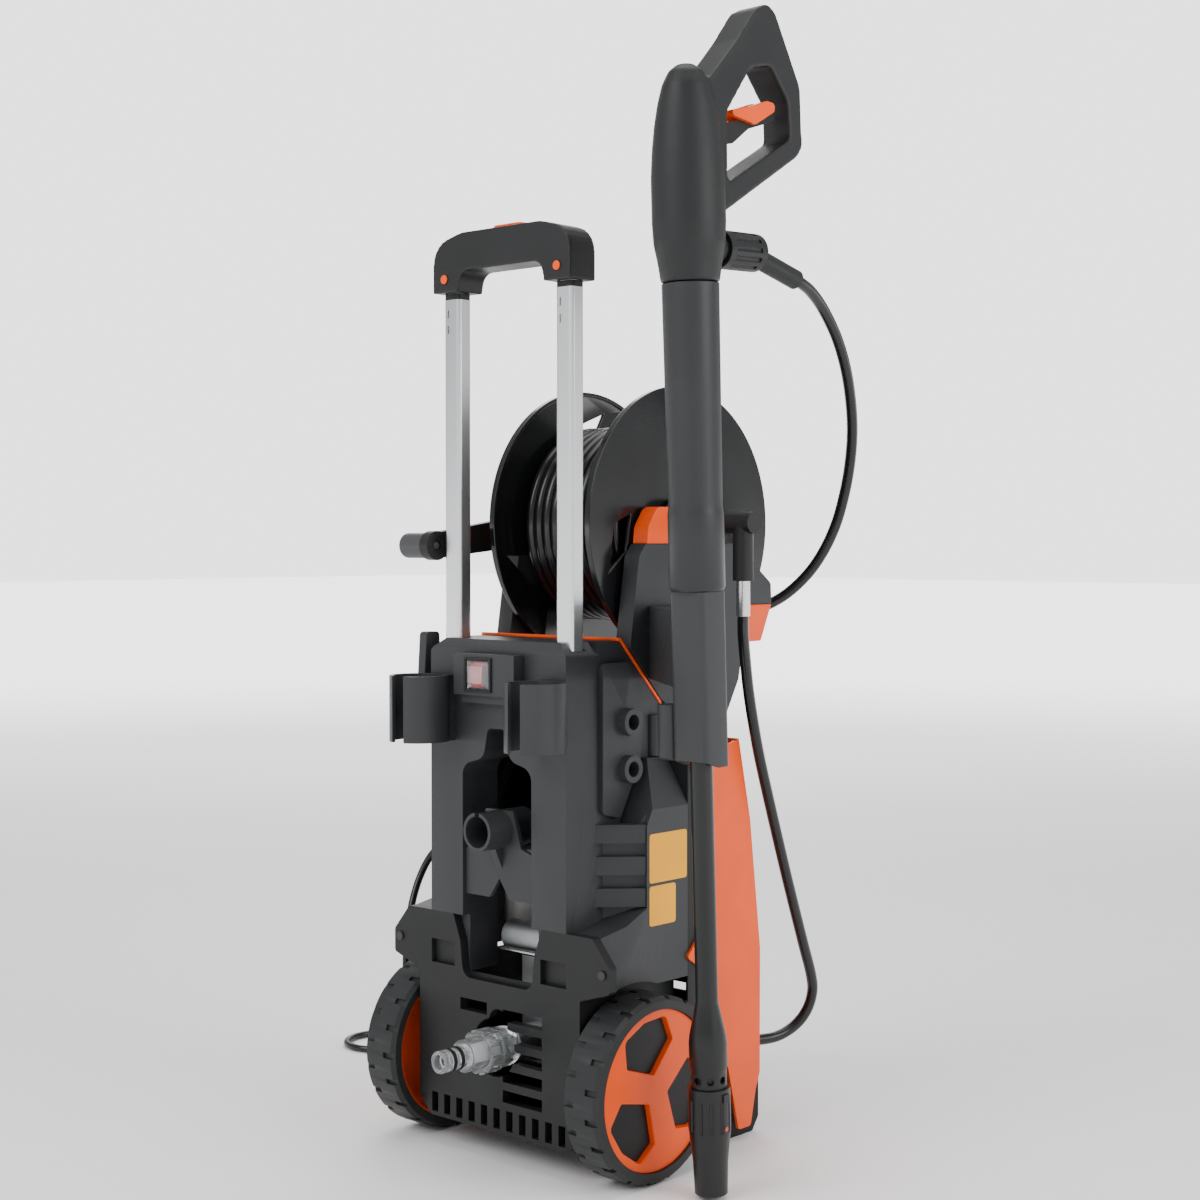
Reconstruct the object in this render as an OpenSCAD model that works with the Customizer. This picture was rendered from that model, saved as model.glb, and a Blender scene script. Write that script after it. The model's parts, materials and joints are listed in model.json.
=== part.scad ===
// Upright electric pressure washer on two wheels, with a telescopic mast, a hose reel and a spray gun.
// Origin: on the floor, under the middle of the wheel axle. Millimetres.
// +X to the right, +Y to the front, +Z up.

/* [Wheels] */
// Diameter of each wheel over the tread
wheel_d = 180; // [160:5:220]
// Width of each tyre
wheel_w = 44; // [36:2:56]
// Distance between the outer faces of the two tyres
track = 324; // [312:4:400]
// Diameter of the axle
axle_d = 12; // [8:1:16]

/* [Case] */
// Width of the rear column that holds the mast
column_w = 188; // [184:2:230]
// Width of the case over the wheels
case_w = 260; // [250:2:310]
// Height of the case
case_h = 517; // [505:1:620]
// Wall of the housings
wall = 3; // [2:0.5:5]
// Width of the opening in the rear column
window_w = 96; // [80:2:104]
// Number of slots in the bottom row of vents
vent_count = 11; // [5:1:13]

/* [Handle] */
// Distance between the centres of the two mast tubes
mast_spacing = 156; // [148:1:162]
// Width of a mast tube, across the machine
mast_w = 22; // [18:0.5:24]
// Depth of a mast tube
mast_depth = 18; // [14:0.5:20]
// Wall of a mast tube
mast_wall = 1.5; // [1:0.25:2.5]
// Height of the top of the grip, with the mast drawn out
grip_top = 922; // [860:1:1000]
// Width of the grip
grip_w = 190; // [180:1:220]

/* [Reel] */
// Diameter of the reel's flanges
flange_d = 282; // [240:2:286]
// Width of the reel over its flanges
reel_w = 140; // [110:2:144]
// Diameter of the drum that the hose is wound on
drum_d = 90; // [60:2:120]
// Diameter of the wound hose
wound_d = 205; // [150:5:220]
// Length of the crank, between the reel's axis and the knob's
crank_length = 188; // [150:1:190]
// Diameter of the reel's shaft
reel_shaft_d = 20; // [14:1:26]

/* [Spray gun] */
// Diameter of the lance tube
lance_d = 21; // [16:0.5:24]
// Diameter of the gun's body
gun_d = 68; // [58:1:72]
// Thickness of the gun's loop handle
loop_t = 33; // [24:1:36]
// Diameter of the high-pressure hoses
hose_d = 11.5; // [9:0.5:13]
// Lean of the lance in its holder, in degrees
lance_lean = 2.2; // [0:0.1:3]

/* [Power cord] */
// Diameter of the power cord
cord_d = 8; // [6:0.5:9]

/* [Clearances] */
// Gap round a sliding piece
slide_gap = 0.4; // [0.2:0.1:0.6]
// Gap round a turning shaft
spin_gap = 0.05; // [0.02:0.01:0.1]
// Gap between pieces that sit beside each other
seat_gap = 0.3; // [0.2:0.05:0.5]

/* [Hidden] */
$fn = 64;
eps = 0.01;

// Wheels and axle
axle_z = wheel_d / 2;
wheel_side_gap = 6;
base_w = track - 2 * wheel_w - 2 * wheel_side_gap;
arch_r = wheel_d / 2 + 9;
tyre_h = 12;
hub_r = wheel_d / 2 - tyre_h;
tread_blocks = 20;

// Case, seen from the side
rear_y = -58;
wing_y = -12;
split_y = 80;
ridge_y = 18;
slope_z = case_h - 67;
base_z = 30;
lower_top = axle_z + arch_r - 6;
front_top = 400;
front_shoulder = [column_w / 2 + 2, 424];
rear_top = 354;
rear_shoulder = [column_w / 2 + 8, 400];
ledge = [18, 338];
wing_x = 88;
wing_out = wing_y + case_w / 2 - wing_x;
fender_y = 24;
boss_d = 18;
boss_h = 41;
fin_z = 260;
fin_h = 18;
fin_pitch = 31;
nose = [[154, 414], [173, 330], [190, 195], [190, 65], [176, base_z]];
panel_t = 3;
trim_t = 3;

// Rear plate and its ears
plate_t = 10;
ear_top = lower_top + 57;
ear_x = 150;
ear_hole_x = 141;
ear_hole_z = lower_top + 24;
window_top = 392;
window_peak = 430;
grille_w = 54;
inlet_z = 114;
inlet_seat = 40;
pocket_d = 58;

// Mast and grip
mast_x = mast_spacing / 2;
mast_y = -35;
grip_bottom = grip_top - 58;
collar_h = 6;
mast_top = grip_bottom - collar_h - seat_gap;
mast_bottom = 345;
inner_gap = 0.3;
inner_w = mast_w - 2 * mast_wall - 2 * inner_gap;
inner_d = mast_depth - 2 * mast_wall - 2 * inner_gap;
inner_bottom = 560;
leg_w = 35;
button = [40, 18, 16];
button_rise = 4;

// Switch
switch_w = 84;
switch_z = 463;
switch_h = 41;
switch_face = rear_y - 14;
rocker = [24, 20];
rocker_x = -11;
rocker_z = switch_z + switch_h / 2;
rocker_pin_d = 3;

// Reel and its brackets
reel_y = 142;
reel_z = case_h + 116;
flange_t = 4;
bracket_gap = 4;
bracket_in = reel_w / 2 + bracket_gap;
bracket_t = 20;
bracket_out = bracket_in + bracket_t;
crank_x = bracket_out + 4;
crank_t = 12;
crank_drop = 7;
crank_end = [reel_y - crank_length * cos(crank_drop), reel_z - crank_length * sin(crank_drop)];
knob_d = 26;
knob_h = 34;
knob_pin_d = 10;
elbow_x = 150;
elbow_d = 22;
elbow_drop = 58;
ferrule_d = 14;
ferrule_h = 36;

// Nozzle rack
rack_t = 6;
rack_y = 22;
rack_rings = [392, 438];
rack_ring_d = 27;
rack_hole_d = 15;

// Accessory clips
clip_d = 60;
clip_wall = 4;
clip_at = [81, rear_y - clip_d / 2 + 2];
clip_z = [415, 481];
clip_mouth = 16;

// Accessory socket
socket_d = 38;
socket_bore = 31;
socket_z = 331;

// Lance, gun and holder, in the lance's own frame: z along the lance, y towards the loop
lance_offset = 60;
lance_x = track / 2 + lance_offset;
lance_y = 5;
sleeve = [42, 36];
sleeve_wall = 3;
sleeve_bottom = 407;
sleeve_top = 569;
slot_w = lance_d + 4;
barrel_bottom = sleeve_top + seat_gap;
barrel_top = 850;
nozzle_bottom = 5;
nozzle_top = 106;
neck_top = 123;
spigot_d = 26;
spigot_bottom = 520;
gun_top = 1048;
hose_port_z = 884;
nut_len = 54;
relief_d = 19;
trigger_pivot = [29, 988];
trigger_t = 12;
lock_t = 22;
lock_at = [84, 1010];
lock_pin = [88, 1005.5];
lock_pin_d = 3;
pin_d = 5;

// Motor and pump
motor_at = [0, 76];
motor_d = 112;
motor_z = [206, 372];
shaft_d = 14;
pump_z = [62, 196];
pump_d = 96;
pump_rear = motor_at.y - pump_d / 2;
capacitor_d = 36;
capacitor_turn = 24;
capacitor_reach = motor_d / 2 + capacitor_d / 2 + seat_gap;
valve_y = 2;

// Gun hose, from the strain relief to the reel
gun_hose_path = [[222, 132, 868], [221.8, 142, 865.5], [219, 162, 859], [213, 190, 845], [207, 221, 820],
    [200, 247, 790], [190, 270, 758], [182, 284, 727], [172, 294, 695], [160, 301, 663], [146, 305, 631],
    [130, 304, 602], [112, 300, 578], [90, 292, 557], [68, 279, 543], [48, 262, 535], [32, 240, 529],
    [20, 214, 525], [12, 188, 522], [8, 162, 521], [4, 136, 522]];

// Link hose, from the reel's elbow down to the pump's outlet
link_hose_path = [[150, 142, 538.5], [150, 142.2, 522], [150, 145, 500], [149, 152, 465],
    [148, 163, 425], [147, 176, 386], [144, 204, 318], [140, 232, 256], [135, 264, 190], [131, 284, 152],
    [127, 292, 131], [121, 290, 110], [113, 279, 94], [104, 258, 84.5], [95, 230, 84]];
outlet = [95, 84];

// Power cord, from the gland down past the wheel to the coil on the floor, and on to the plug
gland = [44, 292];
gland_len = 22;
cord_path = [[-152, 44, 292], [-166, 43.5, 291.5], [-182, 40, 286], [-195, 33, 272], [-201, 22, 248],
    [-198, 8, 220], [-190, -5, 190], [-182, -14, 158], [-177, -18, 125], [-175, -19, 92], [-179, -14, 62],
    [-190, 0, 36], [-208, 24, 16], [-232, 56, 6], [-262, 94, 4.5], [-300, 138, 4.5], [-342, 182, 4.5],
    [-385, 210, 4.5], [-427, 216, 4.5], [-462, 196, 4.5], [-472, 162, 4.5], [-454, 134, 4.5],
    [-420, 130, 4.5], [-384, 158, 4.5], [-350, 204, 4.5], [-318, 246, 4.5], [-280, 280, 4.5],
    [-245, 300, 4.5], [-215, 311.3, 4.5], [-190, 314.3, 4.5]];
coil_at = [-190, 386];
coil_r = 48;
coil_size = [40, 25];
plug_path = [[-153.8, 323.5, 20], [-138, 331, 15], [-118, 337, 8], [-98, 335, 5], [-78, 326, 7],
    [-60, 314, 13], [-44, 306, 18], [-30, 304, 19]];
plug_at = [-30, 304, 19];

// ---- Outlines and simple solids ----

function unit(v) = v / norm(v);

// Points of the corner p between a and b, rounded by radius r
function corner(a, p, b, r, n) = r <= 0 || norm(unit(a - p) + unit(b - p)) < 0.02 ? [p] :
    let (u = unit(a - p), v = unit(b - p), half = acos(u * v) / 2, c = p + unit(u + v) * r / sin(half),
        s = p + u * r / tan(half) - c, e = p + v * r / tan(half) - c,
        start = atan2(s.y, s.x), turn = atan2(s.x * e.y - s.y * e.x, s * e))
    [for (i = [0:n]) c + r * [cos(start + turn * i / n), sin(start + turn * i / n)]];

// Outline through the corners [x, y, radius]
function outline(p, n = 5) = [for (i = [0:len(p) - 1])
    let (a = p[(i + len(p) - 1) % len(p)], q = p[i], b = p[(i + 1) % len(p)])
    each corner([a.x, a.y], [q.x, q.y], [b.x, b.y], len(q) > 2 ? q.z : 0, n)];

function rounded_rect(w, h, r) =
    outline([[-w / 2, -h / 2, r], [w / 2, -h / 2, r], [w / 2, h / 2, r], [-w / 2, h / 2, r]]);

// Outline in Y and Z, drawn out from x0 to x1
module side_slab(points, x0, x1) {
    translate([x0, 0, 0])
        rotate([90, 0, 90])
            linear_extrude(x1 - x0)
                polygon(points);
}

// Outline in X and Z, drawn out from y0 to y1
module front_slab(points, y0, y1) {
    translate([0, y1, 0])
        rotate([90, 0, 0])
            linear_extrude(y1 - y0)
                polygon(points);
}

// Box between two corners
module box(a, b) {
    translate(a)
        cube(b - a);
}

module rod_x(d, x0, x1, y, z) {
    translate([x0, y, z])
        rotate([0, 90, 0])
            cylinder(d = d, h = x1 - x0);
}

module rod_y(d, y0, y1, x, z) {
    translate([x, y0, z])
        rotate([-90, 0, 0])
            cylinder(d = d, h = y1 - y0);
}

// Rod between two points
module strut(a, b, d) {
    run = b - a;
    translate(a)
        rotate([0, acos(run.z / norm(run)), atan2(run.y, run.x)])
            cylinder(d = d, h = norm(run));
}

module ring_x(d, hole_d, x0, x1, y, z) {
    difference() {
        rod_x(d, x0, x1, y, z);
        rod_x(hole_d, x0 - 1, x1 + 1, y, z);
    }
}

module both_sides() {
    children();
    mirror([1, 0, 0])
        children();
}

// Point of a smooth curve through the route, at t between point i and the next
function spline(p, i, t) =
    let (a = p[max(i - 1, 0)], b = p[i], c = p[min(i + 1, len(p) - 1)], d = p[min(i + 2, len(p) - 1)])
    0.5 * ((2 * b) + (c - a) * t + (2 * a - 5 * b + 4 * c - d) * t * t + (3 * b - a - 3 * c + d) * t * t * t);

// Points along the route, as many between each pair as its length asks for
function along(p, step) = [for (i = [0:len(p) - 2])
    let (n = max(1, round(norm(p[i + 1] - p[i]) / step)))
    each [for (k = [0:n - 1]) spline(p, i, k / n)]];

function route(p, step) = concat(along(p, step), [p[len(p) - 1]]);

// Round tube of diameter d swept along a route that is never upright for long along its guide
module swept(p, d, step, sides, guide) {
    path = route(p, step);
    last = len(path) - 1;
    rings = [for (i = [0:last])
        let (t = unit(path[min(i + 1, last)] - path[max(i - 1, 0)]), u = unit(cross(t, guide)))
        let (v = cross(u, t))
        each [for (k = [0:sides - 1])
            let (a = 360 * k / sides)
            path[i] + d / 2 * (u * cos(a) + v * sin(a))]];
    walls = [for (i = [0:last - 1], k = [0:sides - 1])
        let (a = i * sides + k, b = i * sides + (k + 1) % sides)
        each [[a, b, b + sides], [a, b + sides, a + sides]]];
    polyhedron(rings, concat([[for (k = [sides - 1:-1:0]) k]], walls,
        [[for (k = [0:sides - 1]) last * sides + k]]));
}

// ---- Case ----

// Space that the wheels turn in, beside the base
module wheel_arches(i = 0) {
    both_sides()
        rod_x(2 * (arch_r + i), base_w / 2 - i, base_w / 2 + 100, 0, axle_z);
}

// Case seen from behind, with its walls moved in by i: sides up to top, then a slope in to the shoulder
function case_outline(i, top, shoulder) =
    let (s = case_w / 2 - i, c = column_w / 2 - i, x = shoulder.x - i, z = shoulder.y - i)
    [[-s, base_z + i], [-s, top - i], [-x, z], [-c, z], [-c, case_h - i], [c, case_h - i], [c, z], [x, z],
    [s, top - i], [s, base_z + i]];

function rear_profile(i) = [[wing_y + i, lower_top - i], [wing_y + i, case_h - i],
    [ridge_y - i / 2, case_h - i], [split_y, slope_z - i], [split_y, lower_top - i]];

// Side of a wing: a low ledge behind, under the nozzle rack, then up to the shoulder
function wing_profile(i) = [[wing_y + i, lower_top - i], [wing_y + i, ledge.y - i],
    [ledge.x + i, ledge.y - i],
    [50 + i, rear_shoulder.y - i], [split_y, rear_shoulder.y - i], [split_y, lower_top - i]];

// Half of the wings seen from above: the rear wall runs out to the side and ends in a lip
function wing_plan(i) = [[-1, wing_y + i], [wing_x - 0.41 * i, wing_y + i],
    each i > 0 ? [[case_w / 2 - i, wing_out + 0.41 * i]] :
        [[case_w / 2 - 6, wing_out - 6], [case_w / 2, wing_out - 12]],
    [case_w / 2 - i, split_y + 1], [-1, split_y + 1]];

// Side of a fender, between the ear and the wing
function fender_profile(i) =
    let (rear = rear_y + plate_t + seat_gap + i, front = fender_y + 7 * i, top = ear_top - 1 - i)
    [[rear, lower_top + i], [rear, top], [wing_y, top + 6], [fender_y, top + 22], [front, top + 22],
    [front, lower_top + i]];

function front_profile(i) = concat([[split_y, base_z + i], [split_y, slope_z - i]],
    [for (p = nose) [p.x - i, p.y - (p.y > 400 ? i : p.y < 31 ? -i : 0)]]);

// Rear half of the case in front of the column, with its walls moved in by i
module rear_mass(i) {
    side_slab(rear_profile(i), -column_w / 2 + i, column_w / 2 - i);
    intersection() {
        side_slab(wing_profile(i), -case_w / 2 + i, case_w / 2 - i);
        front_slab(case_outline(i, rear_top, rear_shoulder), wing_y, split_y + 1);
        both_sides()
            translate([0, 0, lower_top - 2 * wall])
                linear_extrude(case_h - lower_top)
                    polygon(wing_plan(i));
    }
    both_sides()
        side_slab(fender_profile(i), column_w / 2 - wall + i, case_w / 2 - i);
}

// Inside of the case, clear of the liners over the wheels
module rear_cavity() {
    difference() {
        rear_mass(wall);
        wheel_arches(wall);
    }
}

module front_cavity() {
    difference() {
        intersection() {
            side_slab(front_profile(wall), -case_w / 2, case_w / 2);
            union() {
                front_slab(case_outline(wall, front_top, front_shoulder), split_y + wall, nose[2].x + 1);
                front_slab(case_outline(wall, rear_top, rear_shoulder), split_y - 1, split_y + wall + 1);
            }
        }
        wheel_arches(wall);
    }
}

// Column seen from above: two pillars, each with a channel for a mast tube, and a top between them
module column() {
    difference() {
        union() {
            front_slab(outline([[-column_w / 2, ear_top], [column_w / 2, ear_top],
                [column_w / 2, case_h - 12, 4], [column_w / 2 - 14, case_h, 3],
                [-column_w / 2 + 14, case_h, 3], [-column_w / 2, case_h - 12, 4]]), rear_y, wing_y + 1);
            box([-column_w / 2, rear_y + plate_t, lower_top], [column_w / 2, wing_y + 1, ear_top + 1]);
        }
        translate([0, rear_y, case_h])
            rotate([45, 0, 0])
                cube([column_w + 2, 12, 12], center = true);
    }
}

// Opening in the rear column, with a peak in the middle of its top
module window() {
    w = window_w / 2;
    front_slab(outline([[-w, lower_top - 5, 12], [w, lower_top - 5, 12], [w, window_top, 14],
        [18, window_top + 8, 14], [12, window_peak, 6], [-12, window_peak, 6], [-18, window_top + 8, 14],
        [-w, window_top, 14]]), rear_y - 1, wing_y + wall + 1);
}

module mast_channels(bottom, top) {
    both_sides()
        translate([mast_x - mast_w / 2 - slide_gap, mast_y - mast_depth / 2 - slide_gap, bottom])
            cube([mast_w + 2 * slide_gap, mast_depth + 2 * slide_gap, top - bottom]);
}

module rear_fins() {
    both_sides()
        for (i = [0:2])
            translate([0, 0, fin_z + fin_pitch * i])
                linear_extrude(fin_h)
                    polygon([[column_w / 2 - 1, wing_y - 5.5], [case_w / 2 - 1.5, wing_out - 12],
                        [case_w / 2 - 3, wing_out], [column_w / 2 - 1, wing_y + 8]]);
}

// Rounded boss beside the lower end of the trim
module side_bosses() {
    both_sides()
        translate([column_w / 2, split_y - 10, rear_shoulder.y + 1])
            cylinder(d = boss_d, h = boss_h);
}

module rear_housing() {
    color("#3a3d40")
        difference() {
            union() {
                column();
                rear_fins();
                side_bosses();
                rear_mass(0);
            }
            rear_cavity();
            window();
            mast_channels(lower_top - 1, case_h + 1);
            wheel_arches();
            box([-column_w / 2 - 1, split_y, lower_top - 1], [column_w / 2 + 1, split_y + 1, case_h]);
            rod_x(12, -case_w / 2 - 1, -case_w / 2 + wall + 1, gland[0], gland[1]);
        }
}

// Rear plate, seen from behind, with an ear over each wheel
function plate_outline() = outline([[-base_w / 2 + 17, base_z, 4], [base_w / 2 - 17, base_z, 4],
    [base_w / 2, base_z + 17, 4], [base_w / 2, lower_top - 5], [ear_x, lower_top + 7, 4],
    [ear_x, lower_top + 31, 6], [128, ear_top, 4], [62, ear_top, 4], [window_w / 2 + 4, lower_top + 31, 4],
    [window_w / 2, lower_top - 5, 12], [-window_w / 2, lower_top - 5, 12],
    [-window_w / 2 - 4, lower_top + 31, 4], [-62, ear_top, 4], [-128, ear_top, 4],
    [-ear_x, lower_top + 31, 6], [-ear_x, lower_top + 7, 4], [-base_w / 2, lower_top - 5],
    [-base_w / 2, base_z + 17, 4]]);

// Everything that is cut through the rear wall of the base
module rear_openings() {
    y0 = rear_y - 1;
    y1 = rear_y + plate_t + 8;
    both_sides() {
        box([window_w / 2 + 12, y0, lower_top + 4], [column_w / 2, rear_y + 6, lower_top + 28]);
        rod_y(5, y0, y1, ear_hole_x, ear_hole_z);
    }
    for (i = [0:4])
        box([8, y0, 62 + 20 * i], [8 + grille_w, y1, 74 + 20 * i]);
    box([-52, y0, 145], [-14, y1, 157]);
    rod_y(pocket_d, y0, y1, -4, inlet_z);
    rod_y(26, y0, y1, 2, inlet_z + 26);
    vents(y0, y1);
}

// Bottom row of upright slots
module vents(y0, y1) {
    pitch = (base_w - 46) / (vent_count - 1);
    for (i = [0:vent_count - 1])
        box([-base_w / 2 + 23 + pitch * i - 5, y0, base_z + 4], [-base_w / 2 + 23 + pitch * i + 4, y1, 54]);
}

module lower_housing() {
    color("#2b2d2f")
        difference() {
            union() {
                front_slab(plate_outline(), rear_y, rear_y + plate_t);
                box([-base_w / 2, rear_y + plate_t - 1, base_z], [base_w / 2, split_y, lower_top - eps]);
            }
            box([-base_w / 2 + wall, rear_y + plate_t, base_z + wall],
                [base_w / 2 - wall, split_y + 1, lower_top + 1]);
            rear_openings();
            rod_x(axle_d + 2 * spin_gap, -base_w / 2 - 1, base_w / 2 + 1, 0, axle_z);
        }
}

module front_housing() {
    color("#232527")
        difference() {
            intersection() {
                side_slab(front_profile(0), -case_w / 2, case_w / 2);
                front_slab(case_outline(0, front_top, front_shoulder), split_y, nose[2].x + 1);
            }
            front_cavity();
            wheel_arches();
            for (i = [0:6])
                box([-44, 150, 110 + 26 * i], [44, 200, 118 + 26 * i]);
            rod_y(ferrule_d + 2, 170, 200, outlet[0], outlet[1]);
        }
}

// Orange side of the front cover, with a stepped rear edge
function panel_side() = outline([[82, 392], [104, 399, 3], [154, 413, 3], [173, 330], [190, 195], [190, 65],
    [178, 12, 4], [158, 12, 4], [138, 90, 6], [120, 172, 4], [76, 202, 3], [104, 230, 3], [98, 330, 6],
    [108, 368, 4]]);

module front_panel() {
    color("#f26a1b")
        difference() {
            union() {
                both_sides() {
                    side_slab(panel_side(), case_w / 2 + eps, case_w / 2 + panel_t);
                    side_slab(concat([for (p = nose) [p.x + panel_t, p.y]],
                        [for (i = [len(nose) - 1:-1:0]) [nose[i].x + eps, nose[i].y]]),
                        case_w / 2 - 46, case_w / 2 + panel_t);
                }
                side_slab([[nose[4].x + eps, base_z], [nose[3].x + eps, 65], [nose[3].x + eps, 84],
                    [nose[3].x + panel_t, 84], [nose[3].x + panel_t, 65], [nose[4].x + panel_t, base_z]],
                    -case_w / 2 + 40, case_w / 2 - 40);
            }
            rod_y(ferrule_d + 2, 170, 200, outlet[0], outlet[1]);
        }
}

// Strip along the case's top edge, where the rear housing meets the reel's cradle
module top_trim() {
    color("#f26a1b")
        side_slab([[ridge_y - 4, case_h + eps], [ridge_y, case_h + eps], [split_y, slope_z + eps],
            [split_y, slope_z + trim_t * 1.5], [ridge_y + 1, case_h + trim_t],
            [ridge_y - 4, case_h + trim_t]],
            -column_w / 2 - 1.5, column_w / 2 + 1.5);
}

module front_feet() {
    color("#1b1c1d")
        both_sides()
            side_slab(outline([[150, 0, 4], [196, 0, 4], [206, 14, 4], [206, 56, 4],
                [nose[3].x + panel_t + seat_gap, 62], [nose[3].x + panel_t + seat_gap, base_z - eps],
                [150, base_z - eps]]), 92, 122);
}

module wheel_axle() {
    color("#b9bcbf")
        rod_x(axle_d, -track / 2 + 10, track / 2 - 10, 0, axle_z);
}

// ---- Fittings on the case ----

// Stepped box on the column, with an opening for the rocker
module switch_box() {
    w = switch_w / 2;
    half = [rocker[0] / 2 + slide_gap, rocker[1] / 2 + 2];
    color("#4a4d50")
        difference() {
            union() {
                box([-w - 4, switch_face, switch_z], [w - 4, rear_y - eps, switch_z + switch_h]);
                box([-w + 2, switch_face + 5, switch_z - 8], [w - 10, rear_y - eps, switch_z]);
            }
            box([rocker_x - half[0], switch_face - 1, rocker_z - half[1]],
                [rocker_x + half[0], rear_y + 1, rocker_z + half[1]]);
            rod_x(rocker_pin_d + 2 * spin_gap, rocker_x - rocker[0] / 2 - 3, rocker_x + rocker[0] / 2 + 3,
                switch_face + 8, rocker_z);
        }
}

module switch_rocker() {
    w = rocker[0] / 2;
    h = rocker[1] / 2;
    color("#c8242b")
        union() {
            side_slab(outline([[switch_face + 11, rocker_z - 5, 1], [switch_face + 11, rocker_z + 5, 1],
                [switch_face + 3, rocker_z + h, 1], [switch_face + 1.5, rocker_z, 0],
                [switch_face + 3, rocker_z - h, 1]]), rocker_x - w, rocker_x + w);
            rod_x(rocker_pin_d, rocker_x - w - 2.5, rocker_x + w + 2.5, switch_face + 8, rocker_z);
        }
}

// Plate on the right side with two rings that nozzles are pushed into
module nozzle_rack() {
    x = column_w / 2 + eps;
    color("#34373a")
        difference() {
            union() {
                side_slab(outline([[-12, 350, 6], [14, 344, 6], [43, 398, 6], [46, 452, 8], [26, 496, 6],
                    [-12, 496, 6]]), x, x + rack_t);
                for (z = rack_rings)
                    rod_x(rack_ring_d, x, x + rack_t + 10, rack_y, z);
            }
            for (z = rack_rings)
                rod_x(rack_hole_d, x + 2, x + rack_t + 11, rack_y, z);
        }
}

// Place in the machine of a point in the lance's frame
function lance_point(p) = [lance_x + p.x, lance_y + p.y * cos(lance_lean) - p.z * sin(lance_lean),
    p.y * sin(lance_lean) + p.z * cos(lance_lean)];

module lance_frame() {
    translate([lance_x, lance_y, 0])
        rotate([lance_lean, 0, 0])
            children();
}

// Open-fronted sleeve that the gun stands in, on an arm from the right reel bracket
module lance_holder() {
    color("#3f4245")
        difference() {
            union() {
                lance_frame() {
                    translate([0, 0, sleeve_bottom])
                        linear_extrude(sleeve_top - sleeve_bottom)
                            polygon(rounded_rect(sleeve[0], sleeve[1], 7));
                    translate([-sleeve[0] / 2 - 8, -12, 412])
                        cylinder(d = 20, h = 52);
                }
                translate([0, 0, 478])
                    linear_extrude(72)
                        polygon([[bracket_out + seat_gap, 62], [lance_x - sleeve[0] / 2 + 4, -24],
                            [lance_x - sleeve[0] / 2 + 4, 0], [bracket_out + seat_gap, 104]]);
            }
            lance_frame() {
                translate([0, 0, sleeve_bottom - 1])
                    linear_extrude(sleeve_top - sleeve_bottom + 2)
                        polygon(rounded_rect(sleeve[0] - 2 * sleeve_wall, sleeve[1] - 2 * sleeve_wall, 4));
                box([-slot_w / 2, 0, sleeve_bottom - 1], [slot_w / 2, 40, sleeve_top + 1]);
                translate([0, 0, sleeve_bottom])
                    rotate([-20, 0, 0])
                        box([-50, -50, -30], [50, 50, 0]);
            }
        }
}

// One open clip on each side of the column, each with its mouth to the rear
module accessory_clips() {
    color("#2f3134")
        both_sides()
            difference() {
                union() {
                    translate([clip_at.x, clip_at.y, clip_z[0]])
                        cylinder(d = clip_d, h = clip_z[1] - clip_z[0]);
                    box([clip_at.x - 22, clip_at.y + 18, clip_z[0]],
                        [column_w / 2 - 1, rear_y - eps, clip_z[1]]);
                }
                translate([clip_at.x, clip_at.y, clip_z[0] - 1])
                    cylinder(d = clip_d - 2 * clip_wall, h = clip_z[1] - clip_z[0] + 2);
                box([clip_at.x - clip_mouth / 2, clip_at.y - clip_d, clip_z[0] - 1],
                    [clip_at.x + clip_mouth / 2, clip_at.y, clip_z[1] + 1]);
                box([0, rear_y - eps, clip_z[0] - 1], [200, rear_y + 30, clip_z[1] + 1]);
            }
}

// Standing hook on the left that the power cord hangs over
module cord_hook() {
    color("#34373a")
        union() {
            side_slab(outline([[-54, 462], [-28, 462], [-32, 522, 4], [-50, 522, 4]]), -120, -109);
            box([-112, -50, 462], [-column_w / 2 - eps, -30, 474]);
        }
}

// Plate across the opening with a short split tube, for parking an accessory
module accessory_socket() {
    y = rear_y + 4;
    w = window_w / 2;
    color("#4a4d50")
        difference() {
            union() {
                front_slab([[-w + seat_gap, 262], [-14, 262], [0, 282], [14, 262], [w - seat_gap, 262],
                    [w - seat_gap, 308], [30, 314], [19, 350], [-19, 350], [-30, 314],
                    [-w + seat_gap, 308]], y, y + 5);
                rod_y(socket_d, rear_y - 27, wing_y - 8, 0, socket_z);
                side_slab([[rear_y - 14, socket_z], [y + 1, 290], [y + 1, socket_z]], -4, 4);
            }
            rod_y(socket_bore, rear_y - 28, wing_y - 7, 0, socket_z);
            box([-3, rear_y - 28, socket_z + 9], [3, rear_y - 10, socket_z + 21]);
        }
}

// ---- Reel cradle ----

function bracket_side() = outline([[ridge_y + 16, case_h - 8], [48, case_h + 83, 8], [58, case_h + 95],
    [reel_y + 60, case_h + 95], [reel_y + 64, case_h + 83, 6], [230, case_h + 75, 6], [261, case_h + 53, 5],
    [262, case_h + 31], [222, case_h + 31], [206, case_h - 47, 10], [178, 421],
    [nose[0].x, nose[0].y + 4], [split_y + 2, slope_z + trim_t * 1.5 + 0.5]]);

// One side of the cradle: the bearing on top, open from the inside below it
module reel_bracket() {
    color("#3f4245")
        difference() {
            union() {
                side_slab(bracket_side(), bracket_in, bracket_out);
                side_slab(outline([[reel_y - 40, case_h + 94], [reel_y + 30, case_h + 94],
                    [reel_y + 24, reel_z + 24, 20], [reel_y - 34, reel_z + 24, 20]]),
                    bracket_in, bracket_out);
            }
            rod_x(reel_shaft_d + 2 * spin_gap, bracket_in - 1, bracket_out + 1, reel_y, reel_z);
            side_slab([[70, case_h + 3], [110, case_h - 37], [180, case_h - 47], [200, case_h + 3],
                [190, case_h + 43], [90, case_h + 43]],
                bracket_in - 1, bracket_out - wall);
        }
}

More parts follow.
